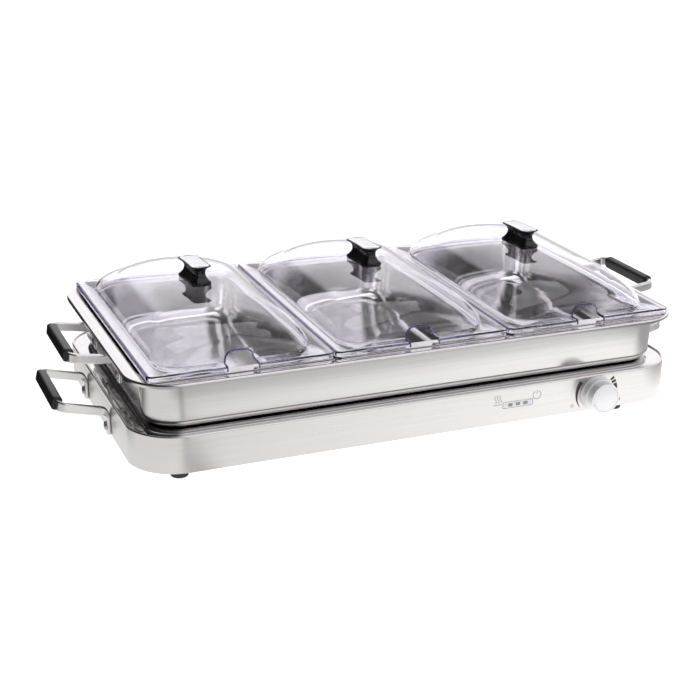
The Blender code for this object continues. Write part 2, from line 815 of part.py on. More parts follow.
def pan_rings():
    under = CARRIER_RIM_TOP + GAP
    half_x, half_y = (PITCH - LID_GAP) / 2, LID_DEPTH / 2
    mouth_x, mouth_y = half_x - PAN_FLANGE, half_y - PAN_FLANGE
    rings = [
        (half_x, half_y, LID_CORNER, under),
        (mouth_x + 0.002, mouth_y + 0.002, 0.027, under),
        (mouth_x, mouth_y, 0.025, under - 0.002),
        (mouth_x - 0.003, mouth_y - 0.003, 0.024, under - PAN_DEPTH * 0.55),
    ]
    radius, draft = 0.010, 0.005
    steps = 3
    for step in range(steps + 1):
        angle = pi / 2 * step / steps
        inset = draft + radius * (1 - cos(angle))
        height = under - PAN_DEPTH + radius * (1 - sin(angle))
        rings.append((mouth_x - inset, mouth_y - inset, 0.022, height))
    return [rounded_rectangle(*ring) for ring in rings]


def make_pans(parts, root):
    for number, x in PAN_CENTRES.items():
        mesh = loft(f"pan_{number}", pan_rings(), cap_last=True)
        pan = place(f"pan_{number}", mesh, parts, root, polished_steel(), (x, 0, 0))
        thicken(pan, PAN_SHEET)


def lid_base_height():
    """Height of the lids' skirts above the ground."""
    return CARRIER_RIM_TOP + GAP + PAN_SHEET + GAP


def dome_rise(share):
    """Height of the dome's underside where share runs from 1 at its edge to 0 at its middle."""
    return DOME_HEIGHT * (1 - share**2.95) ** 0.545


def dome_ring(half_x, half_y, share, under):
    """Outline of the dome at a share of its plan; its ends stay steeper than its sides."""
    x, y = half_x * share, half_y * (1 - (1 - share) ** 1.41)
    corner = min(DOME_CORNER + DOME_ROUNDING * (1 - share), 0.98 * x)
    return x, y, corner, under + dome_rise(share)


def lid_rings():
    low = lid_base_height()
    under = low + LID_SKIRT - LID_SHEET
    half_x, half_y = (PITCH - LID_GAP) / 2 - LID_SHEET, LID_DEPTH / 2 - LID_SHEET
    rings = [
        (half_x, half_y, LID_CORNER - LID_SHEET, low),
        (half_x, half_y, LID_CORNER - LID_SHEET, under),
    ]
    dome_x, dome_y = (PITCH - LID_GAP) / 2 - LID_FLANGE, LID_DEPTH / 2 - LID_FLANGE
    for share in (1.0, 0.985, 0.955, 0.90, 0.80, 0.64, 0.40):
        rings.append(dome_ring(dome_x, dome_y, share, under))
    hole = LID_SCREW_RADIUS + GAP
    rings.append((0.020, 0.030, 0.010, under + DOME_HEIGHT))
    rings.append((hole, hole, hole, under + DOME_HEIGHT))
    return [rounded_rectangle(*ring) for ring in rings]


def notch_outline():
    """Arch of the spoon opening, seen from the front, starting below the skirt."""
    half, height, depth = NOTCH_WIDTH / 2, NOTCH_HEIGHT, 0.004
    radius = 0.0075
    outline = [(-half - 0.001, -depth), (half + 0.001, -depth)]
    for side, start in ((1, 0.0), (-1, pi / 2)):
        for step in range(5):
            angle = start + pi / 2 * step / 4
            x = side * (half - radius - 0.002) + radius * cos(angle)
            outline.append((x, height - radius + radius * sin(angle)))
    return outline


def make_lids(parts, cutters, root):
    low = lid_base_height()
    crown = low + LID_SKIRT + DOME_HEIGHT
    notch_y = (NOTCH_REACH - LID_DEPTH) / 2 - 0.003
    for number, x in PAN_CENTRES.items():
        name = f"lid_{number}"
        lid = place(name, loft(name, lid_rings()), parts, root, clear_plastic(), (x, 0, 0))
        thicken(lid, LID_SHEET)
        tag = f"notch_{number}"
        notch_mesh = mesh_of_curve(flat_outline(tag, [notch_outline()], NOTCH_REACH + 0.006))
        notch = cutter(tag, notch_mesh, cutters, root, (x, notch_y, low))
        notch.rotation_euler = (pi / 2, 0, 0)
        boolean(lid, notch)
        make_lid_handle(number, (x, 0, crown), parts, cutters, root)


def make_lid_handle(number, at, parts, cutters, root):
    """A waisted grip on top of a lid, with a bright inlay and the screw that holds it from below."""
    x, y, top = LID_KNOB_X, LID_KNOB_Y, LID_KNOB_HEIGHT
    levels = [
        (x - 0.0012, y - 0.0012, 0.0042, top - 0.0013),
        (x - 0.0012, y - 0.0012, 0.0042, top),
        (x - 0.0003, y - 0.0003, 0.0050, top),
        (x, y, 0.0052, top - 0.0008),
        (x - 0.0030, y - 0.0028, 0.0048, top - 0.0052),
        (x - 0.0040, y - 0.0040, 0.0044, 0.0085),
        (x - 0.0030, y - 0.0030, 0.0048, 0.0045),
        (x - 0.0004, y - 0.0004, 0.0056, 0.0030),
        (x, y, 0.0058, 0.0020),
        (x - 0.0004, y - 0.0004, 0.0056, GAP),
    ]
    rings = [rounded_rectangle(*level, steps=3) for level in levels]
    name = f"lid_knob_{number}"
    knob = place(name, loft(name, rings, cap_first=True, cap_last=True), parts, root, black_plastic(), at)
    depth = 0.0130
    bore(knob, name, LID_SCREW_RADIUS + GAP, 2 * depth, "Z", at, cutters, root, 12)
    inlay_x, inlay_y, corner = x - 0.0012 - GAP, y - 0.0012 - GAP, 0.0040
    inlay = [
        rounded_rectangle(inlay_x - 0.0005, inlay_y - 0.0005, corner, top + 0.0002, 3),
        rounded_rectangle(inlay_x, inlay_y, corner, top - 0.0003, 3),
        rounded_rectangle(inlay_x, inlay_y, corner, top - 0.0013 + GAP, 3),
    ]
    name = f"lid_knob_cap_{number}"
    place(name, loft(name, inlay, cap_first=True, cap_last=True), parts, root, satin_silver(), at)
    under = -LID_SHEET - GAP
    screw = [
        (0.0, depth - 0.0010),
        (LID_SCREW_RADIUS, depth - 0.0016),
        (LID_SCREW_RADIUS, under),
        (0.0040, under),
        (0.0034, under - 0.0018),
        (0.0, under - 0.0022),
    ]
    place_turned(f"lid_knob_screw_{number}", screw, parts, root, plated_steel(), at, 12)


def bore_walls(item, group, wall, arm_height, cutters, root):
    """Screw holes through a tray's end walls, behind its handles' tabs."""
    screw_z = arm_height - BAR_BEND - TAB_LENGTH / 2
    for side, sign in SIDES.items():
        for end, y in (("front", -BAR_HALF_SPAN), ("rear", BAR_HALF_SPAN)):
            tag = f"{group}_wall_{side}_{end}"
            at = (sign * wall, y, screw_z)
            bore(item, tag, HANDLE_SCREW_RADIUS + GAP, 0.012, "X", at, cutters, root, 12)


def main():
    clear_scene()
    parts = new_collection("buffet_server")
    cutters = new_collection("cutters")
    root = bpy.data.objects.new("assembly", None)
    parts.objects.link(root)
    root.location = (0, BODY_Y, 0)

    band = make_band(parts, cutters, root)
    make_plate(parts, root)
    make_bottom_cover(parts, cutters, root)
    make_feet(parts, root)
    make_element(parts, root)
    make_element_clamps(parts, root)
    make_reflector(parts, root)
    make_thermostat(parts, cutters, root)
    make_small_electrics(parts, cutters, root)
    make_lens(parts, root)
    make_bezel(parts, root)
    make_knob(parts, cutters, root)
    make_gland(parts, root)
    bore_walls(band, "base", BAND_X, BASE_ARM_HEIGHT, cutters, root)
    make_handles(
        "base", BAND_X, BASE_HANDLE_REACH, BASE_HANDLE_RISE, BASE_ARM_HEIGHT, parts, cutters, root
    )

    tray = make_carrier(parts, root)
    wall = CARRIER_X - CARRIER_OVERHANG
    bore_walls(tray, "carrier", wall, CARRIER_ARM_HEIGHT, cutters, root)
    make_handles(
        "carrier", wall, CARRIER_HANDLE_REACH, CARRIER_HANDLE_RISE, CARRIER_ARM_HEIGHT, parts, cutters, root
    )
    make_pans(parts, root)
    make_lids(parts, cutters, root)


main()
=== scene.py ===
"""Looks of the electric buffet server: fine surfaces, materials, studio and camera.

Metres, +Z up, +X along the length and -Y towards the control knob's side.
"""

import json
from math import cos, hypot, pi, radians, sin

import bmesh
import bpy
from mathutils import Matrix, Vector


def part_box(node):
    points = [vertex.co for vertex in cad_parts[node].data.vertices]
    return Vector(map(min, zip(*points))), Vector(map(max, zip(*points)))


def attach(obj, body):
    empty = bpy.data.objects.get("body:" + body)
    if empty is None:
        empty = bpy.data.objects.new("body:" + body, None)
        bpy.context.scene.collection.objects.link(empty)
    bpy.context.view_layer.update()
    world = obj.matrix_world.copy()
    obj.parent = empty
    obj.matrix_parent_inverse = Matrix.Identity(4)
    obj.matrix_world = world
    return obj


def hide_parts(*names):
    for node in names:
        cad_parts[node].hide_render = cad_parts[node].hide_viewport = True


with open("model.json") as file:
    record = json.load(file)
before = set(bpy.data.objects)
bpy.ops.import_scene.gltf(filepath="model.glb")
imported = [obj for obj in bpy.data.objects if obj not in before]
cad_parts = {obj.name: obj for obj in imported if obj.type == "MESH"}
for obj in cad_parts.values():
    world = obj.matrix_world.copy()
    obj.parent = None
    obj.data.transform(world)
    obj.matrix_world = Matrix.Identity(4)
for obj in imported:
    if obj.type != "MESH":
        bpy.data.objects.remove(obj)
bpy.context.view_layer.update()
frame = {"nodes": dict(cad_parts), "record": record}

# Outer sizes and places of the pieces
BAND_LOW, BAND_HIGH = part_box("base_band")
CENTRE_Y = (BAND_LOW.y + BAND_HIGH.y) / 2
BAND_X, BAND_Y = BAND_HIGH.x, BAND_HIGH.y - CENTRE_Y
BAND_BOTTOM, BAND_TOP = BAND_LOW.z, BAND_HIGH.z
FRONT = BAND_LOW.y  # the band's front face
CARRIER_LOW, CARRIER_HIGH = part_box("carrier_tray")
CARRIER_X, CARRIER_Y = CARRIER_HIGH.x, CARRIER_HIGH.y - CENTRE_Y
PAN_LOW, PAN_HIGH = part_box("pan_2")
PAN_X, PAN_Y = PAN_HIGH.x, PAN_HIGH.y - CENTRE_Y
LID_LOW, LID_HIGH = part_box("lid_2")
LID_X, LID_Y = LID_HIGH.x, LID_HIGH.y - CENTRE_Y
NUMBERS = (1, 2, 3)
PAN_CENTRES = {n: sum(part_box(f"pan_{n}"), Vector()).x / 2 for n in NUMBERS}
KNOB_LOW, KNOB_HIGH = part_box("control_knob")
KNOB_X, KNOB_Z = (KNOB_LOW.x + KNOB_HIGH.x) / 2, (KNOB_LOW.z + KNOB_HIGH.z) / 2
KNOB_REACH = FRONT - KNOB_LOW.y
LENS_LOW, LENS_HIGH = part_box("indicator_lens")
LENS_X, LENS_Z = (LENS_LOW.x + LENS_HIGH.x) / 2, (LENS_LOW.z + LENS_HIGH.z) / 2
LENS_WIDTH, LENS_HEIGHT = LENS_HIGH.x - LENS_LOW.x, LENS_HIGH.z - LENS_LOW.z
SIDES = {"left": -1, "right": 1}
ENDS = {"front": -1, "rear": 1}

# Base
BAND_RADIUS, BAND_WALL = 0.0475, 0.0012
RIM_WIDTH, RIM_ROUND, RIM_INNER_ROUND, FOOT_ROUND = 0.0021, 0.0014, 0.0005, 0.0015
LEDGE_WIDTH, LIP_WIDTH, PLATE_THICKNESS = 0.009, 0.022, 0.0015
SHAFT_HOLE, GLAND_HOLE, HOLE_REACH = 0.006, 0.007, 0.01
SHOULDER_RUN, SHOULDER_SLOPE = 0.0110, 12  # the plate's outer edge, and its slope in degrees at the rim

# Carrier and pans
CARRIER_RADIUS, CARRIER_WALL_RADIUS = 0.045, 0.034
CARRIER_SHEET, CARRIER_SKIRT, CARRIER_OVERHANG = 0.0010, 0.0040, 0.0150
CARRIER_DRAFT, CARRIER_FLOOR_RADIUS = 0.0022, 0.0085
PAN_SHEET, PAN_FLANGE, PAN_DRAFT = 0.0008, 0.0145, 0.0050
PAN_CORNER, PAN_MOUTH_RADIUS, PAN_FLOOR_RADIUS = 0.006, 0.027, 0.013

# Lids
LID_SHEET, LID_SKIRT, LID_FLANGE, LID_CORNER = 0.0020, 0.0050, 0.0155, 0.006
DOME_RADIUS, DOME_ROUNDING, DOME_FOOT, DOME_SHEET, LID_EDGE = 0.029, 0.20, 0.0012, 0.0009, 0.0012
DOME_FULLNESS, DOME_POWER, DOME_STRETCH = 2.95, 0.545, 1.41  # the dome's shape across and along
NOTCH_WIDTH, NOTCH_HEIGHT, NOTCH_REACH, NOTCH_RADIUS = 0.031, 0.0150, 0.026, 0.0075
LIP_RADIUS = 0.0008  # rounded lip round the spoon opening
GRIP_X, GRIP_Y, GRIP_TOP = 0.0107, 0.0235, 0.0200  # the lids' handles
GRIP_CORNER, GRIP_WAIST = 0.0054, 0.0052
GRIP_TURN = radians(3.5)  # how far tightening the screws has turned them

# Side handles
BAR_HALF_SPAN, BAR_HEIGHT, BAR_THICKNESS = 0.0500, 0.0092, 0.0048
TAB_THICKNESS, TAB_WIDTH, TAB_LENGTH = 0.0035, 0.0090, 0.0160
BAR_BEND, BAR_CORNER, BAR_EDGE = 0.0080, 0.0075, 0.0013
SLEEVE_HALF, SLEEVE_HEIGHT, SLEEVE_WIDTH, SLEEVE_EDGE = 0.0418, 0.0128, 0.0100, 0.0032
SLEEVE_END = 0.0016  # rounding at a sleeve's ends
BASE_REACH, BASE_RISE, BASE_ARM_DROP = 0.0480, radians(14.0), 0.0107
CARRIER_REACH, CARRIER_RISE, CARRIER_ARM_DROP = 0.0478, radians(8.2), 0.0105
SCREW_HEAD, CROSS_TURN = 0.0046, 0.5
SEAT = 0.0003  # gap between resting pieces

# Control knob
KNOB_RADIUS, KNOB_FACE = 0.0170, 0.0154
BEZEL_RADIUS, BEZEL_DEPTH = 0.0182, 0.0030
KNOB_RECESS, DISC_RADIUS, KNOB_STEP = 0.0135, 0.0133, 0.0115
OFF_ANGLE = radians(201)  # where the knob's mark points when it is off

# Printed marks
DIAL_INNER, DIAL_OUTER = 0.0196, 0.0244
DOT_RADIUS, DOT_OFFSET, DOT_DROP = 0.0017, 0.0268, -0.0108
ICON_LINE, ICON_OFFSET = 0.0005, 0.0218
INK_THICKNESS = 0.00006

# Camera
AZIMUTH, ELEVATION, DISTANCE = radians(-21.512), radians(19.94), 1.5
TARGET = Vector((-0.0419, -0.0605, 0.0688))
SENSOR_WIDTH, FOCAL_LENGTH = 36, 77.4

# Smoothness
CORNER_STEPS = 18
SHARP_ANGLE = 32  # in degrees
EASE = 0.0015  # spacing of the extra points that keep flat faces flat in shading
NOISE_START, NOISE_END = 0.3, 0.7  # the part of a noise's range that colours and roughness use


# Outlines and profiles


def ring(half_x, half_y, radius, z, steps=CORNER_STEPS):
    """Anticlockwise rounded rectangle, with a point just before and just after each corner's arc."""
    radius = min(radius, half_x, half_y)
    lead = min(EASE, 0.3 * (half_x - radius), 0.3 * (half_y - radius))
    points = []
    for corner in range(4):
        side_x = 1 if corner in (0, 3) else -1
        side_y = 1 if corner in (0, 1) else -1
        centre = Vector((side_x * (half_x - radius), side_y * (half_y - radius), z))
        start = corner * pi / 2
        way_in = Vector((-sin(start), cos(start), 0))
        way_out = Vector((-cos(start), -sin(start), 0))
        arc = [
            centre + radius * Vector((cos(start + pi / 2 * i / steps), sin(start + pi / 2 * i / steps), 0))
            for i in range(steps + 1)
        ]
        points += [arc[0] - lead * way_in, *arc, arc[-1] + lead * way_out]
    return points


def circle(radius, z, steps):
    angles = [2 * pi * i / steps for i in range(steps)]
    return [Vector((radius * cos(a), radius * sin(a), z)) for a in angles]


def bend(centre, radius, start, end, steps=6):
    """Arc of (inset, z) points. Angles are in degrees: 0 is inwards, 90 up and 180 outwards."""
    angles = [radians(start + (end - start) * i / steps) for i in range(steps + 1)]
    return [(centre[0] + radius * cos(a), centre[1] + radius * sin(a)) for a in angles]


def supported(profile, reach=0.0006):
    """The profile with a point close to both ends of each long straight part, for flat shading."""
    points = [profile[0]]
    for a, b in zip(profile, profile[1:]):
        length = hypot(b[0] - a[0], b[1] - a[1])
        if length > 5 * reach:
            share = reach / length
            points += [(a[0] + (b[0] - a[0]) * s, a[1] + (b[1] - a[1]) * s) for s in (share, 1 - share)]
        points.append(b)
    return points


# Meshes


def smooth(mesh, angle=SHARP_ANGLE):
    mesh.shade_smooth()
    mesh.set_sharp_from_angle(angle=radians(angle))
    return mesh


def meshed(name, shape):
    mesh = bpy.data.meshes.new(name)
    shape.to_mesh(mesh)
    shape.free()
    return mesh


def linked(name, data):
    item = bpy.data.objects.new(name, data)
    bpy.context.scene.collection.objects.link(item)
    return item


def running_length(points, closed=False):
    lengths = [0.0]
    for a, b in zip(points, points[1:] + (points[:1] if closed else [])):
        lengths.append(lengths[-1] + (b - a).length)
    return lengths


def loft(name, rings, closed=False, cap_first=False, cap_last=False, angle=SHARP_ANGLE):
    """Skin between rings of equally many points, seen from the left going down.

    The UV map "grain" measures metres round the rings and along the profile.
    """
    shape = bmesh.new()
    grain = shape.loops.layers.uv.new("grain")
    loops = [[shape.verts.new(point) for point in points] for points in rings]
    count = len(rings[0])
    around = running_length(max(rings, key=lambda points: (points[0] - points[count // 2]).length), True)
    down = running_length([points[0] for points in rings], closed)
    for k in range(len(rings) if closed else len(rings) - 1):
        upper, lower = loops[k], loops[(k + 1) % len(loops)]
        for i in range(count):
            j = (i + 1) % count
            face = shape.faces.new((upper[i], lower[i], lower[j], upper[j]))
            places = ((i, k), (i, k + 1), (i + 1, k + 1), (i + 1, k))
            for corner, (column, row) in zip(face.loops, places):
                corner[grain].uv = (around[column], down[row])
    caps = [loops[0]] if cap_first else []
    caps += [loops[-1][::-1]] if cap_last else []
    for cap in caps:
        face = shape.faces.new(cap)
        for corner in face.loops:
            corner[grain].uv = corner.vert.co.xy
    return smooth(meshed(name, shape), angle)


def turned(name, profile, steps=64, angle=SHARP_ANGLE):
    """A closed piece turned about local Z from its outer (radius, z) profile, top to bottom."""
    return loft(name, [circle(r, z, steps) for r, z in profile], cap_first=True, cap_last=True, angle=angle)


def holder(mesh, at=(0, 0, 0), turn=(0, 0, 0)):
    item = linked("holder", mesh)
    item.location, item.rotation_euler = at, turn
    return item


def applied(item, angle=SHARP_ANGLE):
    """The evaluated mesh of a holder, which is then removed."""
    graph = bpy.context.evaluated_depsgraph_get()
    mesh = bpy.data.meshes.new_from_object(item.evaluated_get(graph))
    mesh.name = item.data.name
    bpy.data.objects.remove(item)
    return smooth(mesh, angle)


def thickened(mesh, thickness):
    """The surface as a sheet that lies below and inside it."""
    item = holder(mesh)
    sheet = item.modifiers.new("sheet", "SOLIDIFY")
    sheet.thickness = thickness
    sheet.offset = -1
    sheet.use_even_offset = True
    return applied(item)


def cut(mesh, tools, operation="DIFFERENCE", angle=SHARP_ANGLE):
    """The mesh with each tool, a (mesh, place, turn), taken away from it or joined to it."""
    item = holder(mesh)
    others = [holder(*tool) for tool in tools]
    for other in others:
        step = item.modifiers.new("cut", "BOOLEAN")
        step.operation = operation
        step.solver = "EXACT"
        step.object = other
    made = applied(item, angle)
    for other in others:
        bpy.data.objects.remove(other)
    return made


def block(name, size, edge, segments=3):
    """A box about its middle with rounded edges."""
    shape = bmesh.new()
    bmesh.ops.create_cube(shape, size=1.0, matrix=Matrix.Diagonal((*size, 1.0)))
    bmesh.ops.bevel(shape, geom=shape.edges[:], offset=edge, segments=segments, affect="EDGES", profile=0.5)
    return smooth(meshed(name, shape))


def add(name, mesh, body, finish, stands_for=(), at=(0, 0, 0), turn=(0, 0, 0)):
    """Places a piece on its CAD body with its material, and hides the CAD nodes that it stands for."""
    if not mesh.materials:
        mesh.materials.append(finish)
    piece = linked(name, mesh)
    piece.location, piece.rotation_euler = at, turn
    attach(piece, body)
    if stands_for:
        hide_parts(*stands_for)
    return piece


# Materials


class Surface:
    """A node material under construction."""

    def __init__(self, name, **values):
        self.material = bpy.data.materials.new(name)
        self.material.use_nodes = True
        self.tree = self.material.node_tree
        self.shader = self.tree.nodes["Principled BSDF"]
        for key, value in values.items():
            self.set(key.replace("_", " ").title().replace("Ior", "IOR"), value)

    def set(self, socket, value):
        if isinstance(value, tuple) and len(value) == 3:
            value = (*value, 1.0)
        self.shader.inputs[socket].default_value = value

    def node(self, kind, settings=None, **values):
        made = self.tree.nodes.new(kind)
        for key, value in (settings or {}).items():
            setattr(made, key, value)
        for key, value in values.items():
            target = made.inputs[key.replace("_", " ").title()]
            if isinstance(value, bpy.types.NodeSocket):
                self.tree.links.new(value, target)
            else:
                target.default_value = value
        return made

    def link(self, source, socket):
        self.tree.links.new(source, self.shader.inputs[socket])

    def noise(self, coordinates, scale, detail=3.0, roughness=0.55, distortion=0.0):
        """Noise, from 0 to 1, with a scale for each axis."""
        place = self.node("ShaderNodeTexCoord")
        mapping = self.node("ShaderNodeMapping", Vector=place.outputs[coordinates], Scale=scale)
        texture = self.node(
            "ShaderNodeTexNoise",
            Vector=mapping.outputs["Vector"],
            Scale=1.0,
            Detail=detail,
            Roughness=roughness,
            Distortion=distortion,
        )
        return texture.outputs["Fac"]

    def ranged(self, source, low, high, start=NOISE_START, end=NOISE_END, settings=None):
        made = self.node("ShaderNodeMapRange", settings, Value=source)
        for key, value in (("From Min", start), ("From Max", end), ("To Min", low), ("To Max", high)):
            made.inputs[key].default_value = value
        return made.outputs["Result"]

    def tinted(self, source, low, high):
        """Base colour that runs from low to high with the source."""
        ramp = self.node("ShaderNodeValToRGB", Fac=source)
        ends = zip(ramp.color_ramp.elements, (NOISE_START, NOISE_END), (low, high))
        for point, position, colour in ends:
            point.position = position
            point.color = (*colour, 1.0)
        self.link(ramp.outputs["Color"], "Base Color")

    def bumped(self, source, distance, strength=1.0):
        made = self.node("ShaderNodeBump", Height=source, Distance=distance, Strength=strength)
        self.link(made.outputs["Normal"], "Normal")


def brushed(name, low, high, roughness, along=(9, 900, 9), anisotropy=0.0, metallic=1.0):
    """Metal with fine straight brushing. The scale is small along the grain and large across it."""
    made = Surface(name, metallic=metallic, anisotropic=anisotropy)
    fine = made.noise("UV", along, detail=5.0, roughness=0.65)
    broad = made.noise("UV", tuple(s / 7 for s in along), detail=2.0)
    made.tinted(fine, low, high)
    made.link(made.ranged(broad, roughness - 0.04, roughness + 0.05), "Roughness")
    made.bumped(fine, 0.000006)
    if anisotropy:
        tangent = made.node("ShaderNodeTangent", {"direction_type": "UV_MAP", "uv_map": "grain"})
        made.link(tangent.outputs["Tangent"], "Tangent")
    return made.material


def polished(name, low, high, roughness, ripple=0.0004):
    """Polished sheet with faint drawing ripples and smears."""
    made = Surface(name, metallic=1.0)
    smear = made.noise("Object", (60, 60, 60), detail=5.0, distortion=0.6)
    wave = made.noise("Object", (28, 28, 28), detail=1.5)
    made.tinted(smear, low, high)
    made.link(made.ranged(smear, roughness * 0.8, roughness * 1.2), "Roughness")
    made.bumped(wave, ripple, strength=0.12)
    return made.material


def plated(name):
    """Zinc-plated steel with fine spots."""
    made = Surface(name, metallic=1.0)
    spots = made.noise("Object", (420, 420, 420), detail=4.0)
    made.tinted(spots, (0.46, 0.46, 0.47), (0.60, 0.60, 0.60))
    made.link(made.ranged(spots, 0.26, 0.42), "Roughness")
    made.bumped(spots, 0.00002)
    return made.material


def moulded(name, low, high, roughness, spread=0.06, grain=900, height=0.00001, **values):
    """Moulded plastic, rubber or ceramic with a fine surface grain."""
    made = Surface(name, **values)
    fine = made.noise("Object", (grain,) * 3, detail=4.0)
    broad = made.noise("Object", (45, 45, 45), detail=3.0)
    made.tinted(broad, low, high)
    made.link(made.ranged(fine, roughness - spread, roughness + spread), "Roughness")
    made.bumped(fine, height)
    return made.material


def clear(name, low, high, roughness=0.012):
    """Clear plastic that lets lamps light what is behind it."""
    made = Surface(name, transmission_weight=1.0, ior=1.49, specular_ior_level=0.7)
    haze = made.noise("Object", (35, 35, 35), detail=3.0)
    made.tinted(haze, low, high)
    made.link(made.ranged(haze, roughness * 0.5, roughness * 2), "Roughness")
    path = made.node("ShaderNodeLightPath")
    through = made.node("ShaderNodeBsdfTransparent", Color=(*high, 1.0))
    mix = made.node("ShaderNodeMixShader")
    made.tree.links.new(path.outputs["Is Shadow Ray"], mix.inputs[0])
    made.tree.links.new(made.shader.outputs["BSDF"], mix.inputs[1])
    made.tree.links.new(through.outputs["BSDF"], mix.inputs[2])
    made.tree.links.new(mix.outputs["Shader"], made.tree.nodes["Material Output"].inputs["Surface"])
    return made.material


STEEL_BRUSHED = brushed("brushed_steel", (0.71, 0.685, 0.67), (0.755, 0.735, 0.72), 0.24, anisotropy=0.5)
STEEL_CARRIER = brushed("carrier_steel", (0.68, 0.66, 0.655), (0.73, 0.715, 0.71), 0.18, anisotropy=0.4)
STEEL_POLISHED = polished("polished_steel", (0.66, 0.65, 0.64), (0.75, 0.745, 0.74), 0.14)
STEEL_MIRROR = polished("mirror_plate", (0.64, 0.63, 0.63), (0.70, 0.69, 0.69), 0.05, ripple=0.00004)
BAR_METAL = brushed("handle_bar", (0.76, 0.75, 0.74), (0.84, 0.83, 0.82), 0.26, along=(900, 9, 9))
KNOB_METAL = brushed("knob_metal", (0.74, 0.74, 0.75), (0.80, 0.80, 0.81), 0.42, metallic=0.55)
STEEL_PLATED = plated("plated_steel")
CHROME = polished("bright_inlay", (0.58, 0.58, 0.585), (0.68, 0.68, 0.68), 0.12, ripple=0.0001)
CLEAR = clear("clear_plastic", (0.93, 0.92, 0.965), (0.96, 0.95, 0.985))
# Dark blue clear plastic for the lids' edges: painted shade for the dark lines that edges of clear plastic
# show.
PAINTED_EDGE_SHADE = clear("clear_plastic_painted_edge_shade", (0.10, 0.09, 0.27), (0.17, 0.16, 0.38), 0.05)
BLACK_GLOSS = moulded("black_gloss", (0.004, 0.004, 0.005), (0.010, 0.010, 0.011), 0.12, 0.04, ior=1.45)
BLACK_SLEEVE = moulded(
    "black_sleeve", (0.006, 0.006, 0.007), (0.014, 0.014, 0.015), 0.40, 0.08, grain=1300, height=0.00003
)
BLACK_RUBBER = moulded(
    "black_rubber", (0.012, 0.012, 0.012), (0.026, 0.026, 0.026), 0.62, 0.08, grain=1100, height=0.00003
)
CERAMIC = moulded("white_ceramic", (0.72, 0.71, 0.68), (0.80, 0.79, 0.76), 0.48)
INK_BLACK = moulded("black_ink", (0.014, 0.014, 0.015), (0.030, 0.030, 0.032), 0.45)
INK_GREY = moulded("grey_ink", (0.10, 0.095, 0.095), (0.15, 0.145, 0.145), 0.50)
SMOKED = moulded("smoked_window", (0.60, 0.59, 0.59), (0.68, 0.67, 0.67), 0.14, 0.03)
SEGMENT = moulded("indicator_segment", (0.16, 0.16, 0.17), (0.26, 0.26, 0.27), 0.30)


# Base


def make_band():
    """The base's outer wall, rolled at the top, with its ledge, its lip and the holes through it."""
    ledge = BAND_TOP - PLATE_THICKNESS - SEAT
    under, floor = ledge - BAND_WALL, BAND_BOTTOM + BAND_WALL
    inner = RIM_INNER_ROUND
    section = [(LEDGE_WIDTH, ledge), (RIM_WIDTH, ledge)]
    section += bend((RIM_WIDTH - inner, BAND_TOP - inner), inner, 0, 90, 4)
    section += bend((RIM_ROUND, BAND_TOP - RIM_ROUND), RIM_ROUND, 90, 180, 8)
    section += bend((FOOT_ROUND, BAND_BOTTOM + FOOT_ROUND), FOOT_ROUND, 180, 270)
    section += [(LIP_WIDTH, BAND_BOTTOM), (LIP_WIDTH, floor), (BAND_WALL, floor), (BAND_WALL, under)]
    section += [(LEDGE_WIDTH, under)]
    rings = [ring(BAND_X - i, BAND_Y - i, BAND_RADIUS - i, z) for i, z in supported(section)]
    mesh = loft("base_shell", rings, closed=True)
    facing, gap = (pi / 2, 0, 0), 0.0002
    ends = (HOLE_REACH, -HOLE_REACH)
    opening = [ring(LENS_WIDTH / 2 + gap, LENS_HEIGHT / 2 + gap, 0.0012, z, 4) for z in ends]
    window = loft("window", opening, cap_first=True, cap_last=True)
    shaft = turned("shaft_hole", [(SHAFT_HOLE, z) for z in ends], 32)
    gland = turned("gland_hole", [(GLAND_HOLE, z) for z in ends], 32)
    gland_low, gland_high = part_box("cord_gland")
    gland_x, gland_z = (gland_low.x + gland_high.x) / 2, (gland_low.z + gland_high.z) / 2
    tools = [
        (window, (LENS_X, -BAND_Y, LENS_Z), facing),
        (shaft, (KNOB_X, -BAND_Y, KNOB_Z), facing),
        (gland, (gland_x, BAND_Y, gland_z), facing),
    ]
    mesh = cut(mesh, tools)
    add("base_shell", mesh, "base", STEEL_BRUSHED, ["base_band"], (0, CENTRE_Y, 0))


def make_plate():
    """The mirror plate, whose outer edge falls away in a soft shoulder round the carrier."""
    inset = RIM_WIDTH + 0.0006
    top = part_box("warming_plate")[1].z
    slope, run = radians(SHOULDER_SLOPE), SHOULDER_RUN
    bow = run / sin(slope)
    shoulder = bend((inset + run, top - bow), bow, 90, 90 + SHOULDER_SLOPE, 10)
    profile = [(inset + 0.03, top), *shoulder, (inset, top - PLATE_THICKNESS)]
    rings = [ring(BAND_X - i, BAND_Y - i, BAND_RADIUS - i, z) for i, z in profile]
    mesh = loft("mirror_plate", rings, cap_first=True, cap_last=True)
    add("mirror_plate", mesh, "base", STEEL_MIRROR, ["warming_plate"], (0, CENTRE_Y, 0))


def make_feet():
    """Rubber rings, each with a recess for its screw."""
    for end in ENDS:
        for side in SIDES:
            node = f"foot_{end}_{side}"
            low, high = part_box(node)
            radius, top = (high.x - low.x) / 2, high.z
            profile = [(0.0024, top), (radius - 0.0004, top), (radius, top - 0.0004)]
            profile += [(radius - i, z) for i, z in bend((0.0018, 0.0018), 0.0018, 180, 270)]
            profile += [(0.0050, 0.0), (0.0046, 0.0004), (0.0046, top - 0.0018), (0.0024, top - 0.0018)]
            rings = [circle(r, z, 48) for r, z in profile]
            mesh = loft(f"rubber_{node}", rings, closed=True)
            at = ((low.x + high.x) / 2, (low.y + high.y) / 2, 0)
            add(f"rubber_{node}", mesh, "base", BLACK_RUBBER, [node], at)


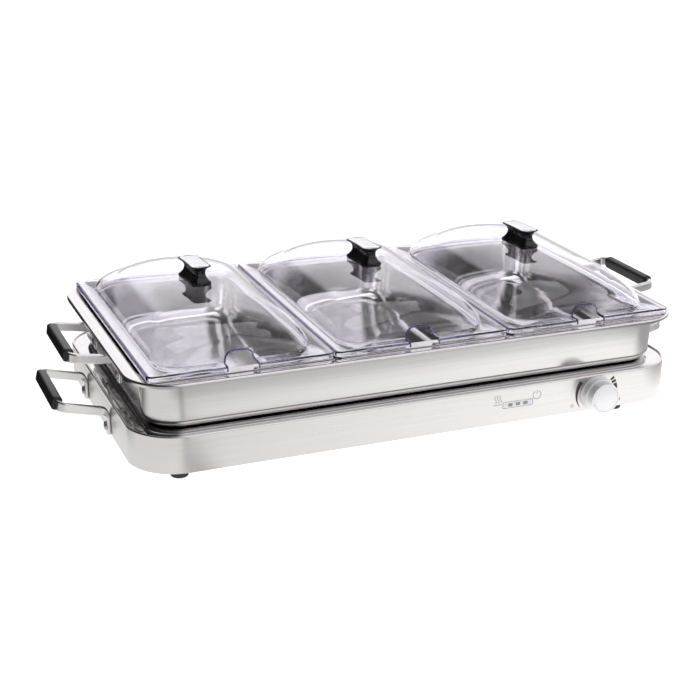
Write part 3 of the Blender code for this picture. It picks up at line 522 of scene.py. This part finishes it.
def make_indicator():
    """A smoked window, lying in the band's opening, with three dark segments on it."""
    facing = (pi / 2, 0, 0)
    at = (LENS_X, FRONT, LENS_Z)
    profile = [(0.0009, 0.0004), (0.0004, 0.0003), (0.0, -0.0002), (0.0, -0.0009)]
    rings = [ring(LENS_WIDTH / 2 - i, LENS_HEIGHT / 2 - i, 0.0014 - i, z, 6) for i, z in profile]
    window = loft("indicator_window", rings, cap_first=True, cap_last=True)
    add("indicator_window", window, "base", SMOKED, ["indicator_lens"], at, facing)
    pitch = LENS_WIDTH / 4
    for index in (-1, 0, 1):
        levels = ((0.0002, 0.00052), (0, 0.00042), (0, 0.0002))
        segment = [ring(0.0024 - i, 0.0016 - i, 0.0004, z, 3) for i, z in levels]
        mesh = loft(f"indicator_segment_{index + 2}", segment, cap_first=True, cap_last=True)
        place = (LENS_X + index * pitch, FRONT, LENS_Z)
        add(mesh.name, mesh, "base", SEGMENT, (), place, facing)


# Printed marks


def printed(name, outline, finish, at):
    """A thin print on the band's front face, from an anticlockwise outline seen from the front."""
    rings = [[Vector((x, y, z)) for x, y in outline] for z in (INK_THICKNESS, 0.00001)]
    mesh = loft(name, rings, cap_first=True, cap_last=True)
    add(name, mesh, "base", finish, (), (at[0], FRONT, at[1]), (pi / 2, 0, 0))


def arc_band(inner, outer, start, end, steps=24):
    """Outline between two radii that may change from the start angle to the end angle, in degrees."""
    shares = [i / steps for i in range(steps + 1)]
    angles = [radians(start + (end - start) * s) for s in shares]
    outside = [((outer[0] + (outer[1] - outer[0]) * s), a) for s, a in zip(shares, angles)]
    inside = [((inner[0] + (inner[1] - inner[0]) * s), a) for s, a in zip(shares, angles)]
    polar = outside + inside[::-1]
    return [(r * cos(a), r * sin(a)) for r, a in polar]


def stroke(points, width):
    """Outline of a line of even width along points."""
    left, right = [], []
    for index, (x, y) in enumerate(points):
        before, after = points[max(index - 1, 0)], points[min(index + 1, len(points) - 1)]
        dx, dy = after[0] - before[0], after[1] - before[1]
        length = hypot(dx, dy)
        across = (-dy / length * width / 2, dx / length * width / 2)
        left.append((x + across[0], y + across[1]))
        right.append((x - across[0], y - across[1]))
    return right + left[::-1]


def make_dial_marks():
    """A crescent and growing dashes round the knob, with a ring for off and a dot for full."""
    at = (KNOB_X, KNOB_Z)
    inner, outer = DIAL_INNER, DIAL_OUTER
    printed("dial_crescent", arc_band((inner, 0.0222), (outer, 0.0226), 142, 217), INK_BLACK, at)
    for index, (start, end) in enumerate(((38, 31.5), (28.5, 21.5))):
        printed(f"dial_dash_{index}", arc_band((inner, inner), (outer, outer), end, start, 8), INK_BLACK, at)
    printed("dial_dash_taper", arc_band((0.0238, inner + 0.0006), (0.0242, outer), -4, 18.5), INK_BLACK, at)
    height = KNOB_Z + DOT_DROP
    for index, (start, end) in enumerate(((-90, 88), (90, 268))):
        half_ring = arc_band((0.00125,) * 2, (DOT_RADIUS,) * 2, start, end)
        printed(f"off_ring_{index}", half_ring, INK_GREY, (KNOB_X - DOT_OFFSET, height))
    dot = arc_band((0.00001,) * 2, (DOT_RADIUS,) * 2, 0, 358, 32)
    printed("full_dot", dot, INK_GREY, (KNOB_X + DOT_OFFSET, height))


def make_icons():
    """Three heat waves over a line, left of the indicator's window, and a power sign to its right."""
    height = LENS_Z + 0.0062
    wave = [(0.0010 * sin(2 * pi * i / 12), -0.0030 + 0.0080 * i / 12) for i in range(13)]
    for index in (-1, 0, 1):
        outline = stroke([(x + 0.0028 * index, y) for x, y in wave], ICON_LINE)
        printed(f"heat_wave_{index + 2}", outline, INK_GREY, (LENS_X - ICON_OFFSET, height))
    outline = stroke([(-0.0046, -0.0048), (0.0046, -0.0048)], ICON_LINE)
    printed("heat_line", outline, INK_GREY, (LENS_X - ICON_OFFSET, height))
    at = (LENS_X + 0.0210, height)
    printed("power_arc", arc_band((0.0041,) * 2, (0.0046,) * 2, 118, 422, 40), INK_GREY, at)
    printed("power_bar", stroke([(0, 0.0010), (0, 0.0052)], ICON_LINE), INK_GREY, at)


# Control knob


def make_bezel():
    """The fixed ring behind the knob."""
    hole, back = 0.0064, SEAT
    profile = [(hole, BEZEL_DEPTH), (0.0166, BEZEL_DEPTH), (0.0172, BEZEL_DEPTH - 0.0003)]
    profile += [(BEZEL_RADIUS - 0.0004, BEZEL_DEPTH - 0.0003), (BEZEL_RADIUS, BEZEL_DEPTH - 0.0008)]
    profile += [(BEZEL_RADIUS, back), (hole, back)]
    mesh = loft("knob_ring", [circle(r, z, 96) for r, z in profile], closed=True, angle=25)
    at = (KNOB_X, FRONT, KNOB_Z)
    add("knob_ring", mesh, "base", KNOB_METAL, ["knob_bezel"], at, (pi / 2, 0, 0))


def make_knob():
    """The knob with its recessed face, waist, turned grooves and pointer mark, and the disc in its face."""
    back, step, recess, edge = BEZEL_DEPTH + SEAT, KNOB_STEP, KNOB_RECESS, 0.0008
    waist, groove_depth = KNOB_RADIUS - 0.0014, 0.0003
    profile = [(0.0001, KNOB_REACH - 0.0010), (recess, KNOB_REACH - 0.0010), (recess, KNOB_REACH - 0.0001)]
    profile += [(recess + 0.0001, KNOB_REACH), (KNOB_FACE - edge, KNOB_REACH)]
    profile += [(KNOB_FACE - i, z) for i, z in bend((edge, KNOB_REACH - edge), edge, 90, 180, 4)]
    profile += [(KNOB_FACE + 0.0002, step), (waist, step - 0.0004), (waist, step - 0.0016)]
    profile += [(KNOB_RADIUS - i, z) for i, z in bend((edge, 0.0090), edge, 90, 180, 4)]
    for index in range(3):
        groove = 0.0078 - index * 0.0013
        profile += [(KNOB_RADIUS, groove), (KNOB_RADIUS - groove_depth, groove - 0.0002)]
        profile += [(KNOB_RADIUS - groove_depth, groove - 0.0004), (KNOB_RADIUS, groove - 0.0006)]
    profile += [(KNOB_RADIUS, back), (0.0040, back)]
    mesh = turned("knob_body", supported(profile, 0.0002), 120, angle=25)
    mark = block("mark", (0.0044, 0.0009, 0.0012), 0.0002)
    middle = KNOB_FACE - 0.0012
    place = (middle * cos(OFF_ANGLE), middle * sin(OFF_ANGLE), KNOB_REACH)
    mesh = cut(mesh, [(mark, place, (0, 0, OFF_ANGLE))], angle=25)
    at, facing = (KNOB_X, FRONT, KNOB_Z), (pi / 2, 0, 0)
    add("knob_body", mesh, "knob", KNOB_METAL, ["control_knob"], at, facing)
    cap = [(0.0001, KNOB_REACH), (DISC_RADIUS - 0.0002, KNOB_REACH), (DISC_RADIUS, KNOB_REACH - 0.0001)]
    cap += [(DISC_RADIUS, KNOB_REACH - 0.0009), (0.0001, KNOB_REACH - 0.0009)]
    mesh = turned("knob_disc", cap, 96)
    add("knob_disc", mesh, "knob", KNOB_METAL, ["knob_cap"], at, facing)


# Side handles


def handle_path(reach, rise, arm_height):
    """Half of a handle's middle line as (place, direction, share), from a tab's end to the sleeve.

    X is outwards from the wall and Y along the sleeve. share is 0 on the flat tab and 1 on the arm.
    """
    tab_out, bend_up = SEAT + TAB_THICKNESS / 2, arm_height - BAR_BEND
    path = [
        (Vector((tab_out, -BAR_HALF_SPAN, bend_up - drop)), Vector((0, 0, 1)), 0.0)
        for drop in (TAB_LENGTH, 0.5 * TAB_LENGTH, 0)
    ]
    bend_steps, corner_steps = 12, 14
    for step in range(1, bend_steps + 1):
        angle = (pi / 2 - rise) * step / bend_steps
        out = tab_out + BAR_BEND * (1 - cos(angle))
        at = Vector((out, -BAR_HALF_SPAN, bend_up + BAR_BEND * sin(angle)))
        share = step / bend_steps
        path.append((at, Vector((sin(angle), 0, cos(angle))), share * share * (3 - 2 * share)))
    start = path[-1][0]
    slope = Vector((cos(rise), 0, sin(rise)))
    corner = start + slope * ((reach - BAR_CORNER - start.x) / cos(rise))
    path.append((start + (corner - start) * 0.04, slope, 1.0))
    path.append((start + (corner - start) * 0.96, slope, 1.0))
    for step in range(corner_steps + 1):
        angle = pi / 2 * step / corner_steps
        at = corner + slope * (BAR_CORNER * sin(angle)) + Vector((0, BAR_CORNER * (1 - cos(angle)), 0))
        path.append((at, slope * cos(angle) + Vector((0, sin(angle), 0)), 1.0))
    return path


def handle_bar(name, reach, rise, arm_height):
    """A bar whose section turns from a flat tab to an upright arm."""
    half = handle_path(reach, rise, arm_height)
    mirrored = [
        (Vector((at.x, -at.y, at.z)), Vector((-way.x, way.y, -way.z)), share)
        for at, way, share in reversed(half)
    ]
    rings = []
    for index, (at, way, share) in enumerate(half + mirrored):
        side = 1 if index < len(half) else -1
        up = Vector((-way.z, 0, way.x)) * side if share < 1 else Vector((-sin(rise), 0, cos(rise)))
        across = way.cross(up)
        height = TAB_THICKNESS + (BAR_HEIGHT - TAB_THICKNESS) * share
        width = TAB_WIDTH + (BAR_THICKNESS - TAB_WIDTH) * share
        section = ring(width / 2, height / 2, BAR_EDGE, 0, 4)
        rings.append([at + across * point.x + up * point.y for point in section])
    return loft(name, rings[::-1], cap_first=True, cap_last=True)


def sleeve(name):
    """A soft sleeve about its middle, along Y, with rounded ends."""
    sections = []
    angles = (0, pi / 8, pi / 4, 3 * pi / 8)
    ends = [(SLEEVE_END * (1 - sin(a)), SLEEVE_HALF - SLEEVE_END * (1 - cos(a))) for a in angles]
    ends += [(0.0, SLEEVE_HALF - SLEEVE_END), (0.0, SLEEVE_HALF - 3 * SLEEVE_END)]
    for inset, y in ends + [(inset, -y) for inset, y in reversed(ends)]:
        outline = ring(SLEEVE_WIDTH / 2 - inset, SLEEVE_HEIGHT / 2 - inset, SLEEVE_EDGE - inset / 2, 0, 8)
        sections.append([Vector((point.x, -y, point.y)) for point in outline])
    return loft(name, sections, cap_first=True, cap_last=True)


def cross_screw(name):
    """A pan-head screw with a cross recess, its head's seat at local z 0."""
    head, shank, blade_size = SCREW_HEAD, 0.0020, (0.0050, 0.0010, 0.0026)
    profile = [(0.0002, 0.0024), (head * 0.45, 0.00232), (head * 0.75, 0.0020), (head * 0.93, 0.0014)]
    profile += [(head, 0.0008), (head, 0.0002), (head - 0.0002, 0.0)]
    profile += [(shank, 0.0), (shank, -0.0095), (0.0006, -0.0100)]
    mesh = turned(name, profile, 40)
    blades = []
    for angle in (CROSS_TURN, CROSS_TURN + pi / 2):
        blades.append((block("blade", blade_size, 0.0002, 1), (0, 0, 0.0026), (0, 0, angle)))
    return cut(mesh, blades)


def make_handles(body, wall, reach, rise, arm_height, screw_mesh):
    """Both handles of one tray: bar, sleeve and two screws each. arm_height is that of the arms' foot."""
    for side, sign in SIDES.items():
        node = f"{body}_handle_{side}"
        mesh = handle_bar(f"{node}_bar", reach, rise, arm_height)
        at, turn = (sign * wall, CENTRE_Y, 0), (0, 0, 0 if sign > 0 else pi)
        add(f"{node}_bar", mesh, body, BAR_METAL, [node], at, turn)
        node = f"{body}_grip_{side}"
        low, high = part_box(node)
        middle = (low + high) / 2
        name = f"{body}_sleeve_{side}"
        add(name, sleeve(name), body, BLACK_SLEEVE, [node], middle, (0, -sign * rise, 0))
        for end, end_sign in ENDS.items():
            node = f"{body}_screw_{side}_{end}"
            low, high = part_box(node)
            seat = wall + SEAT + TAB_THICKNESS
            at = (sign * seat, CENTRE_Y + end_sign * BAR_HALF_SPAN, (low.z + high.z) / 2)
            name = f"{body}_cross_screw_{side}_{end}"
            add(name, screw_mesh, body, STEEL_PLATED, [node], at, (0, sign * pi / 2, 0))


# Carrier, pans and lids


def make_carrier():
    """The carrier tray, from its turned-down rim to its floor."""
    sheet, top, low = CARRIER_SHEET, CARRIER_HIGH.z, CARRIER_LOW.z
    under, edge, fillet, floor = top - CARRIER_SHEET, 0.0010, 0.0030, CARRIER_FLOOR_RADIUS
    wall = CARRIER_OVERHANG
    profile = [(sheet, top - CARRIER_SKIRT)]
    profile += bend((sheet + edge, under - edge), edge, 180, 90)
    profile += bend((wall - fillet, under - fillet), fillet, 90, 0)
    profile += bend((wall + CARRIER_DRAFT + floor, low + floor), floor, 180, 270, 12)
    profile += [(wall + CARRIER_DRAFT + floor + 0.010, low)]
    narrowing = (CARRIER_RADIUS - CARRIER_WALL_RADIUS) / wall
    rings = []
    for inset, z in supported(profile):
        radius = CARRIER_RADIUS - inset * narrowing
        if inset > wall:
            radius = CARRIER_WALL_RADIUS - (inset - wall) / 2
        rings.append(ring(CARRIER_X - inset, CARRIER_Y - inset, radius, z))
    mesh = thickened(loft("carrier_shell", rings, cap_last=True), sheet)
    add("carrier_shell", mesh, "carrier", STEEL_CARRIER, ["carrier_tray"], (0, CENTRE_Y, 0))


def make_pans():
    """Three equal pans, each with a flat flange whose inner corners are rounder than its outer ones."""
    top, low = PAN_HIGH.z, PAN_LOW.z
    under, fillet, floor = top - PAN_SHEET, 0.0022, PAN_FLOOR_RADIUS
    profile = [(0.0, under)] + bend((PAN_FLANGE - fillet, under - fillet), fillet, 90, 0)
    profile += bend((PAN_FLANGE + PAN_DRAFT + floor, low + floor), floor, 180, 270, 12)
    profile += [(PAN_FLANGE + PAN_DRAFT + floor + 0.006, low)]
    mouth = PAN_FLANGE - fillet
    rings = []
    for inset, z in supported(profile):
        radius = PAN_CORNER + (PAN_MOUTH_RADIUS - PAN_CORNER) * min(1, inset / mouth)
        radius -= max(0, inset - mouth) * 0.25
        rings.append(ring(PAN_X - inset, PAN_Y - inset, radius, z))
    mesh = thickened(loft("pan_shell", rings, cap_last=True), PAN_SHEET)
    for number, x in PAN_CENTRES.items():
        body, at = f"pan_{number}", (x, CENTRE_Y, 0)
        add(f"pan_shell_{number}", mesh, body, STEEL_POLISHED, [body], at)


def dome_rise(share):
    """Height share of the dome where share runs from 1 at its edge to 0 at its middle."""
    return (1 - share**DOME_FULLNESS) ** DOME_POWER


def dome_length(share):
    """Share of the dome's half length. Its ends stay steeper than its sides."""
    return 1 - (1 - share) ** DOME_STRETCH


def dome_rings(half_x, half_y, radius, base, height, shares):
    """Outlines of a dome over its base, whose corners grow rounder towards the middle."""
    rings = []
    for share in shares:
        x, y = half_x * share, half_y * dome_length(share)
        corner = min(radius + DOME_ROUNDING * (1 - share), 0.98 * x)
        rings.append(ring(x, y, corner, base + height * dome_rise(share)))
    return rings


def dome_shares():
    """Shares from the middle to the edge, closer together where the wall is steep."""
    first, last, steps = 0.12, 0.9998, 34
    return [first + (last - first) * sin(pi / 2 * i / steps) for i in range(steps + 1)]


def notch_outline():
    """Arch of the spoon opening, seen from the front, from below the skirt."""
    half, depth, radius, steps = NOTCH_WIDTH / 2, 0.004, NOTCH_RADIUS, 10
    outline = [(-half - 0.001, -depth), (half + 0.001, -depth)]
    for side, start in ((1, 0.0), (-1, pi / 2)):
        for step in range(steps + 1):
            angle = start + pi / 2 * step / steps
            x = side * (half - radius - 0.002) + radius * cos(angle)
            outline.append((x, NOTCH_HEIGHT - radius + radius * sin(angle)))
    return outline


def lip_path():
    """The spoon opening's edge over the outside: up the skirt, back over the flange and round the arch."""
    low, flange = LID_LOW.z, LID_LOW.z + LID_SKIRT
    height = LID_HIGH.z - flange
    dome_y = LID_Y - LID_FLANGE + LID_SHEET
    arch = [(x, low + z) for x, z in notch_outline()[2:]]
    right, left = arch[0][0] + 0.0016, arch[-1][0] - 0.0016
    path = []
    for x, z in arch:
        rise = max(0.0, z - flange)
        share = (1 - min(1.0, rise / height) ** (1 / DOME_POWER)) ** (1 / DOME_FULLNESS)
        path.append(Vector((x, -dome_y * dome_length(share), max(z, flange))))
    front = -LID_Y
    for x, order in ((right, 1), (left, -1)):
        foot = [Vector((x, front, low + LIP_RADIUS)), Vector((x, front, flange - 0.0012))]
        foot += [Vector((x, front + 0.0012, flange)), Vector((x * 0.97, -dome_y - 0.0018, flange))]
        path = foot + path if order > 0 else path + foot[::-1]
    return path


def lip_mesh():
    """A round bead along the spoon opening's edge."""
    curve = bpy.data.curves.new("lip", "CURVE")
    curve.dimensions = "3D"
    curve.bevel_depth = LIP_RADIUS
    curve.bevel_resolution = 3
    curve.use_fill_caps = True
    points = lip_path()
    spline = curve.splines.new("POLY")
    spline.points.add(len(points) - 1)
    for point, place in zip(spline.points, points):
        point.co = (*place, 1.0)
    mesh = applied(holder(curve), 60)
    bpy.data.curves.remove(curve)
    shape = bmesh.new()
    shape.from_mesh(mesh)
    bmesh.ops.remove_doubles(shape, verts=shape.verts[:], dist=0.00001)
    shape.to_mesh(mesh)
    shape.free()
    mesh.materials.append(CLEAR)
    mesh.materials.append(PAINTED_EDGE_SHADE)
    # The whole bead takes the dark edge plastic: painted shade along the opening's edge.
    for face in mesh.polygons:
        face.material_index = 1
    return mesh


def lid_mesh():
    """One lid about its own middle: skirt, flange, a dome with a thinner wall, and the spoon opening."""
    low, flange = LID_LOW.z, LID_LOW.z + LID_SKIRT
    height = LID_HIGH.z - flange
    dome_x, dome_y = LID_X - LID_FLANGE + LID_SHEET, LID_Y - LID_FLANGE + LID_SHEET
    shares = dome_shares()
    rings = dome_rings(dome_x, dome_y, DOME_RADIUS, flange, height, shares)
    foot = [(-i, z) for i, z in bend((-DOME_FOOT, flange + DOME_FOOT), DOME_FOOT, 0, -90, 5)][1:]
    rings += [ring(dome_x + i, dome_y + i, DOME_RADIUS + i, z) for i, z in foot]
    rings.append(ring(LID_X - 2 * LID_EDGE, LID_Y - 2 * LID_EDGE, LID_CORNER - LID_EDGE, flange))
    soft, under = 0.0005, flange - LID_SHEET
    skirt = bend((LID_EDGE, flange - LID_EDGE), LID_EDGE, 90, 180, 5)
    skirt += [(0, low + 0.0004), (0.0004, low), (LID_SHEET, low)]
    skirt += [(LID_SHEET, under - soft), (LID_SHEET + soft, under)]
    rings += [ring(LID_X - i, LID_Y - i, LID_CORNER - i, z) for i, z in skirt]
    thin_x, thin_y, thin = dome_x - DOME_SHEET, dome_y - DOME_SHEET, DOME_RADIUS - DOME_SHEET
    rings.append(ring(thin_x + 0.001, thin_y + 0.001, thin + 0.001, under))
    rise = height - DOME_SHEET + LID_SHEET
    rings += dome_rings(thin_x, thin_y, thin, under, rise, shares[::-1])
    mesh = loft("lid_shell", rings, cap_first=True, cap_last=True)
    outline, overhang = notch_outline(), 0.003
    half = NOTCH_REACH / 2 + overhang
    ends = [[Vector((x, y, z)) for x, y in outline] for z in (half, -half)]
    arch = loft("arch", ends, cap_first=True, cap_last=True)
    middle = NOTCH_REACH / 2 - LID_Y - overhang
    mesh = cut(mesh, [(arch, (0, middle, low), (pi / 2, 0, 0))])
    mesh.materials.append(CLEAR)
    mesh.materials.append(PAINTED_EDGE_SHADE)
    # Painted shade: the rim and the opening's cut edges take the dark edge plastic.
    paint_edge_shade(mesh)
    return cut(mesh, [(lip_mesh(),)], "UNION")


def paint_edge_shade(mesh):
    """Gives the second material, a dark blue clear plastic that paints shade on the edges, to the flange's
    rounded rim and the cut edges.
    """
    low, flange = LID_LOW.z, LID_LOW.z + LID_SKIRT
    half = NOTCH_WIDTH / 2
    for face in mesh.polygons:
        middle, normal = face.center, face.normal
        at_rim = flange - LID_EDGE < middle.z < flange and 0.15 < normal.z < 0.98
        near_notch = middle.y < -LID_Y + NOTCH_REACH and abs(middle.x) < half + 0.0015
        in_notch = near_notch and abs(normal.y) < 0.05 and middle.z < low + NOTCH_HEIGHT + 0.0005
        if at_rim or in_notch:
            face.material_index = 1


def waisted(half_x, half_y, corner, z):
    """A rounded rectangle whose long sides draw in and whose short ends bulge a little."""
    pinch, bulge = 0.0007, 0.0007
    side_steps, corner_steps = 8, 6
    straight_y = half_y - corner
    outline = []
    for corner_index in range(4):
        side_x = 1 if corner_index in (0, 3) else -1
        side_y = 1 if corner_index in (0, 1) else -1
        for step in range(corner_steps + 1):
            angle = (corner_index + step / corner_steps) * pi / 2
            x = side_x * (half_x - corner) + corner * cos(angle)
            y = side_y * straight_y + corner * sin(angle)
            outline.append((x, y))
        if corner_index in (1, 3):
            for step in range(1, side_steps):
                outline.append((side_x * half_x, side_y * straight_y * (1 - 2 * step / side_steps)))
    shaped = []
    for x, y in outline:
        drawn_in = 1 - pinch / half_x * cos(pi / 2 * min(1, abs(y) / half_y)) ** 2
        pushed_out = 1 + bulge / half_y * (1 - (x / half_x) ** 2) * abs(y) / half_y
        shaped.append(Vector((x * drawn_in, y * pushed_out, z)))
    return shaped


def lid_grip_mesh():
    """The waisted black handle of a lid, from its recessed top down to its lipped base."""
    top, steps = GRIP_TOP, 16
    brow, foot = top - 0.0009, 0.0034
    profile = [(0.0013, top - 0.0010), (0.0013, top - 0.0001), (0.0010, top), (0.0004, top)]
    profile += [(0.0001, top - 0.0003), (0.0, brow)]
    for step in range(1, steps + 1):
        share = step / steps
        depth = sin(pi * share**0.85) ** 0.75 * GRIP_WAIST
        profile.append((depth, brow - share * (brow - foot)))
    profile += [(0.0, 0.0030), (0.0, 0.0012), (0.0003, 0.0006), (0.0008, SEAT)]
    rings = [waisted(GRIP_X - i, GRIP_Y - i, GRIP_CORNER - i * 0.5, z) for i, z in profile]
    return loft("lid_grip", rings, cap_first=True, cap_last=True, angle=40)


def lid_inlay_mesh():
    """The bright plate let into the handle's top."""
    top = GRIP_TOP
    profile = [(0.0026, top + 0.0001), (0.0021, top + 0.0003), (0.0017, top + 0.0002)]
    profile += [(0.0016, top - 0.0002), (0.0016, top - 0.0009)]
    rings = [waisted(GRIP_X - i, GRIP_Y - i, GRIP_CORNER - i * 0.5, z) for i, z in profile]
    return loft("lid_inlay", rings, cap_first=True, cap_last=True)


def make_lids():
    shell, grip, inlay = lid_mesh(), lid_grip_mesh(), lid_inlay_mesh()
    for number, x in PAN_CENTRES.items():
        body, at = f"lid_{number}", (x, CENTRE_Y, 0)
        add(f"lid_shell_{number}", shell, body, CLEAR, [f"lid_{number}"], at)
        node, turn = f"lid_knob_{number}", (0, 0, GRIP_TURN)
        at = (x, CENTRE_Y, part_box(node)[0].z - SEAT)
        add(f"lid_grip_{number}", grip, body, BLACK_GLOSS, [node], at, turn)
        node = f"lid_knob_cap_{number}"
        add(f"lid_inlay_{number}", inlay, body, CHROME, [node], at, turn)


# Pieces underneath and inside, which keep their shape


def finish_frame_nodes():
    finishes = {
        "plated_steel": STEEL_PLATED,
        "black_plastic": BLACK_GLOSS,
        "white_ceramic": CERAMIC,
    }
    for part in frame["record"]["subparts"]:
        node = frame["nodes"][part["node"]]
        if not node.hide_render:
            for slot in node.material_slots:
                slot.material = finishes[part["material_slot"]]


# Studio


def look_at(item, place, target):
    item.location = place
    item.rotation_euler = (Vector(target) - Vector(place)).to_track_quat("-Z", "Y").to_euler()


def soft_light(name, place, target, size, power):
    """A soft box, which the metal doesn't mirror."""
    data = bpy.data.lights.new(name, "AREA")
    data.shape = "RECTANGLE"
    data.size, data.size_y = size
    data.energy = power
    light = linked(name, data)
    light.visible_glossy = False
    look_at(light, place, target)


def flat(name, size, height):
    """A square sheet of the studio, lying level."""
    shape = bmesh.new()
    bmesh.ops.create_grid(shape, x_segments=8, y_segments=8, size=size)
    sheet = linked(name, meshed(name, shape))
    sheet.location.z = height
    return sheet


def make_floor():
    """A pale floor. The metal mirrors the shaded sheet in its place, which lies just below it."""
    made = Surface("floor")
    speckle = made.noise("Object", (5, 5, 5), detail=2.0)
    made.tinted(speckle, (0.925, 0.925, 0.925), (0.94, 0.94, 0.94))
    made.set("Roughness", 0.8)
    made.set("Emission Color", (1.0, 1.0, 1.0))
    made.set("Emission Strength", 0.85)
    size, below = 25, -0.0005
    floor = flat("floor", size, 0)
    floor.data.materials.append(made.material)
    floor.visible_glossy = False
    shade = flat("floor_shading", size, below)
    shade.data.materials.append(shading_material())
    shade.visible_camera = False
    shade.visible_diffuse = False
    shade.visible_transmission = False
    shade.visible_shadow = False


def ramped(made, source, start, end, low, high):
    """A soft step from low to high, while the source goes from start to end."""
    return made.ranged(source, low, high, start, end, {"interpolation_type": "SMOOTHSTEP"})


def combined(made, operation, *sources):
    total = sources[0]
    for source in sources[1:]:
        step = made.node("ShaderNodeMath", {"operation": operation})
        made.tree.links.new(total, step.inputs[0])
        made.tree.links.new(source, step.inputs[1])
        total = step.outputs["Value"]
    return total


def product(made, *factors):
    return combined(made, "MULTIPLY", *factors)


def larger(made, first, second):
    return combined(made, "MAXIMUM", first, second)


def blended(made, share, first, second):
    """From the first source to the second as the share runs from 0 to 1."""
    mix = made.node("ShaderNodeMix", {"data_type": "FLOAT"})
    for source, socket in ((share, "Factor"), (first, "A"), (second, "B")):
        made.tree.links.new(source, mix.inputs[socket])
    return mix.outputs["Result"]


def shading_material():
    """Brightest close in front on the right, greyer further out, and black at the far left."""
    made = Surface("floor_shading", roughness=1.0)
    made.set("Base Color", (0.0, 0.0, 0.0))
    made.set("Specular IOR Level", 0.0)
    made.set("Emission Color", (1.0, 1.0, 1.0))
    place = made.node("ShaderNodeTexCoord")
    split = made.node("ShaderNodeSeparateXYZ", Vector=place.outputs["Object"])
    x, y = split.outputs["X"], split.outputs["Y"]
    across = ramped(made, x, -0.45, 0.40, 0.86, 1.36)
    outward = ramped(made, y, -0.291, -0.271, 0.56, 1.0)
    dip, peak = ramped(made, x, -0.255, -0.228, 1.0, 0.62), ramped(made, x, -0.224, -0.190, 1.0, 1.6)
    right = larger(made, ramped(made, x, 0.29, 0.40, 1.0, 0.36), ramped(made, y, 0.1, 0.3, 0.0, 1.0))
    left = ramped(made, x, -0.336, -0.322, 0.02, 1.0)
    rear = ramped(made, y, -0.10, 0.05, 1.0, 0.0)
    shade = product(made, across, outward, dip, peak, right, larger(made, left, rear))
    made.link(shade, "Emission Strength")
    return made.material


class Sky(Surface):
    """The world's node tree, with the same helpers as a material's."""

    def __init__(self):
        world = bpy.data.worlds.new("studio")
        bpy.context.scene.world = world
        world.use_nodes = True
        self.tree = world.node_tree
        self.shader = self.tree.nodes["Background"]


def make_world():
    """A room that is bright behind on the right, dark on the left, and in front grey between bright bands."""
    sky = Sky()
    sky.set("Color", (0.99, 0.97, 1.0))
    place = sky.node("ShaderNodeTexCoord")
    split = sky.node("ShaderNodeSeparateXYZ", Vector=place.outputs["Generated"])
    x, y, z = split.outputs["X"], split.outputs["Y"], split.outputs["Z"]
    rear = product(sky, ramped(sky, x, -0.20, -0.06, 0.04, 1.35), ramped(sky, z, 0.45, 0.70, 1.0, 0.15))
    high = larger(sky, ramped(sky, z, 0.42, 0.62, 0.34, 1.3), ramped(sky, z, 0.30, 0.37, 1.5, 0.0))
    front = product(sky, ramped(sky, x, -0.25, 0.20, 0.06, 1.0), high)
    sky.link(blended(sky, ramped(sky, y, -0.3, 0.3, 0.0, 1.0), front, rear), "Strength")


def make_lights():
    middle = (0, 0, 0.08)
    soft_light("top_box", (0.0, 0.5, 1.7), middle, (1.7, 0.9), 10)
    soft_light("left_box", (-1.7, -0.5, 1.0), middle, (0.9, 1.3), 5)
    soft_light("right_box", (1.8, -0.4, 1.1), middle, (0.7, 1.2), 5)
    soft_light("front_box", (0.1, -2.2, 1.3), middle, (1.8, 0.8), 5)


def make_camera():
    level = cos(ELEVATION)
    back = Vector((sin(AZIMUTH) * level, -cos(AZIMUTH) * level, sin(ELEVATION)))
    data = bpy.data.cameras.new("camera")
    data.sensor_width = SENSOR_WIDTH
    data.lens = FOCAL_LENGTH
    data.clip_end = 60
    camera = linked("camera", data)
    look_at(camera, TARGET + back * DISTANCE, TARGET)
    bpy.context.scene.camera = camera
    bpy.context.scene.view_settings.view_transform = "Standard"


make_band()
make_plate()
make_feet()
make_indicator()
make_dial_marks()
make_icons()
make_bezel()
make_knob()
screw = cross_screw("cross_screw")
make_handles("base", BAND_X, BASE_REACH, BASE_RISE, BAND_TOP - BASE_ARM_DROP, screw)
carrier_wall, carrier_arm = CARRIER_X - CARRIER_OVERHANG, CARRIER_HIGH.z - CARRIER_ARM_DROP
make_handles("carrier", carrier_wall, CARRIER_REACH, CARRIER_RISE, carrier_arm, screw)
make_carrier()
make_pans()
make_lids()
finish_frame_nodes()
make_floor()
make_world()
make_lights()
make_camera()
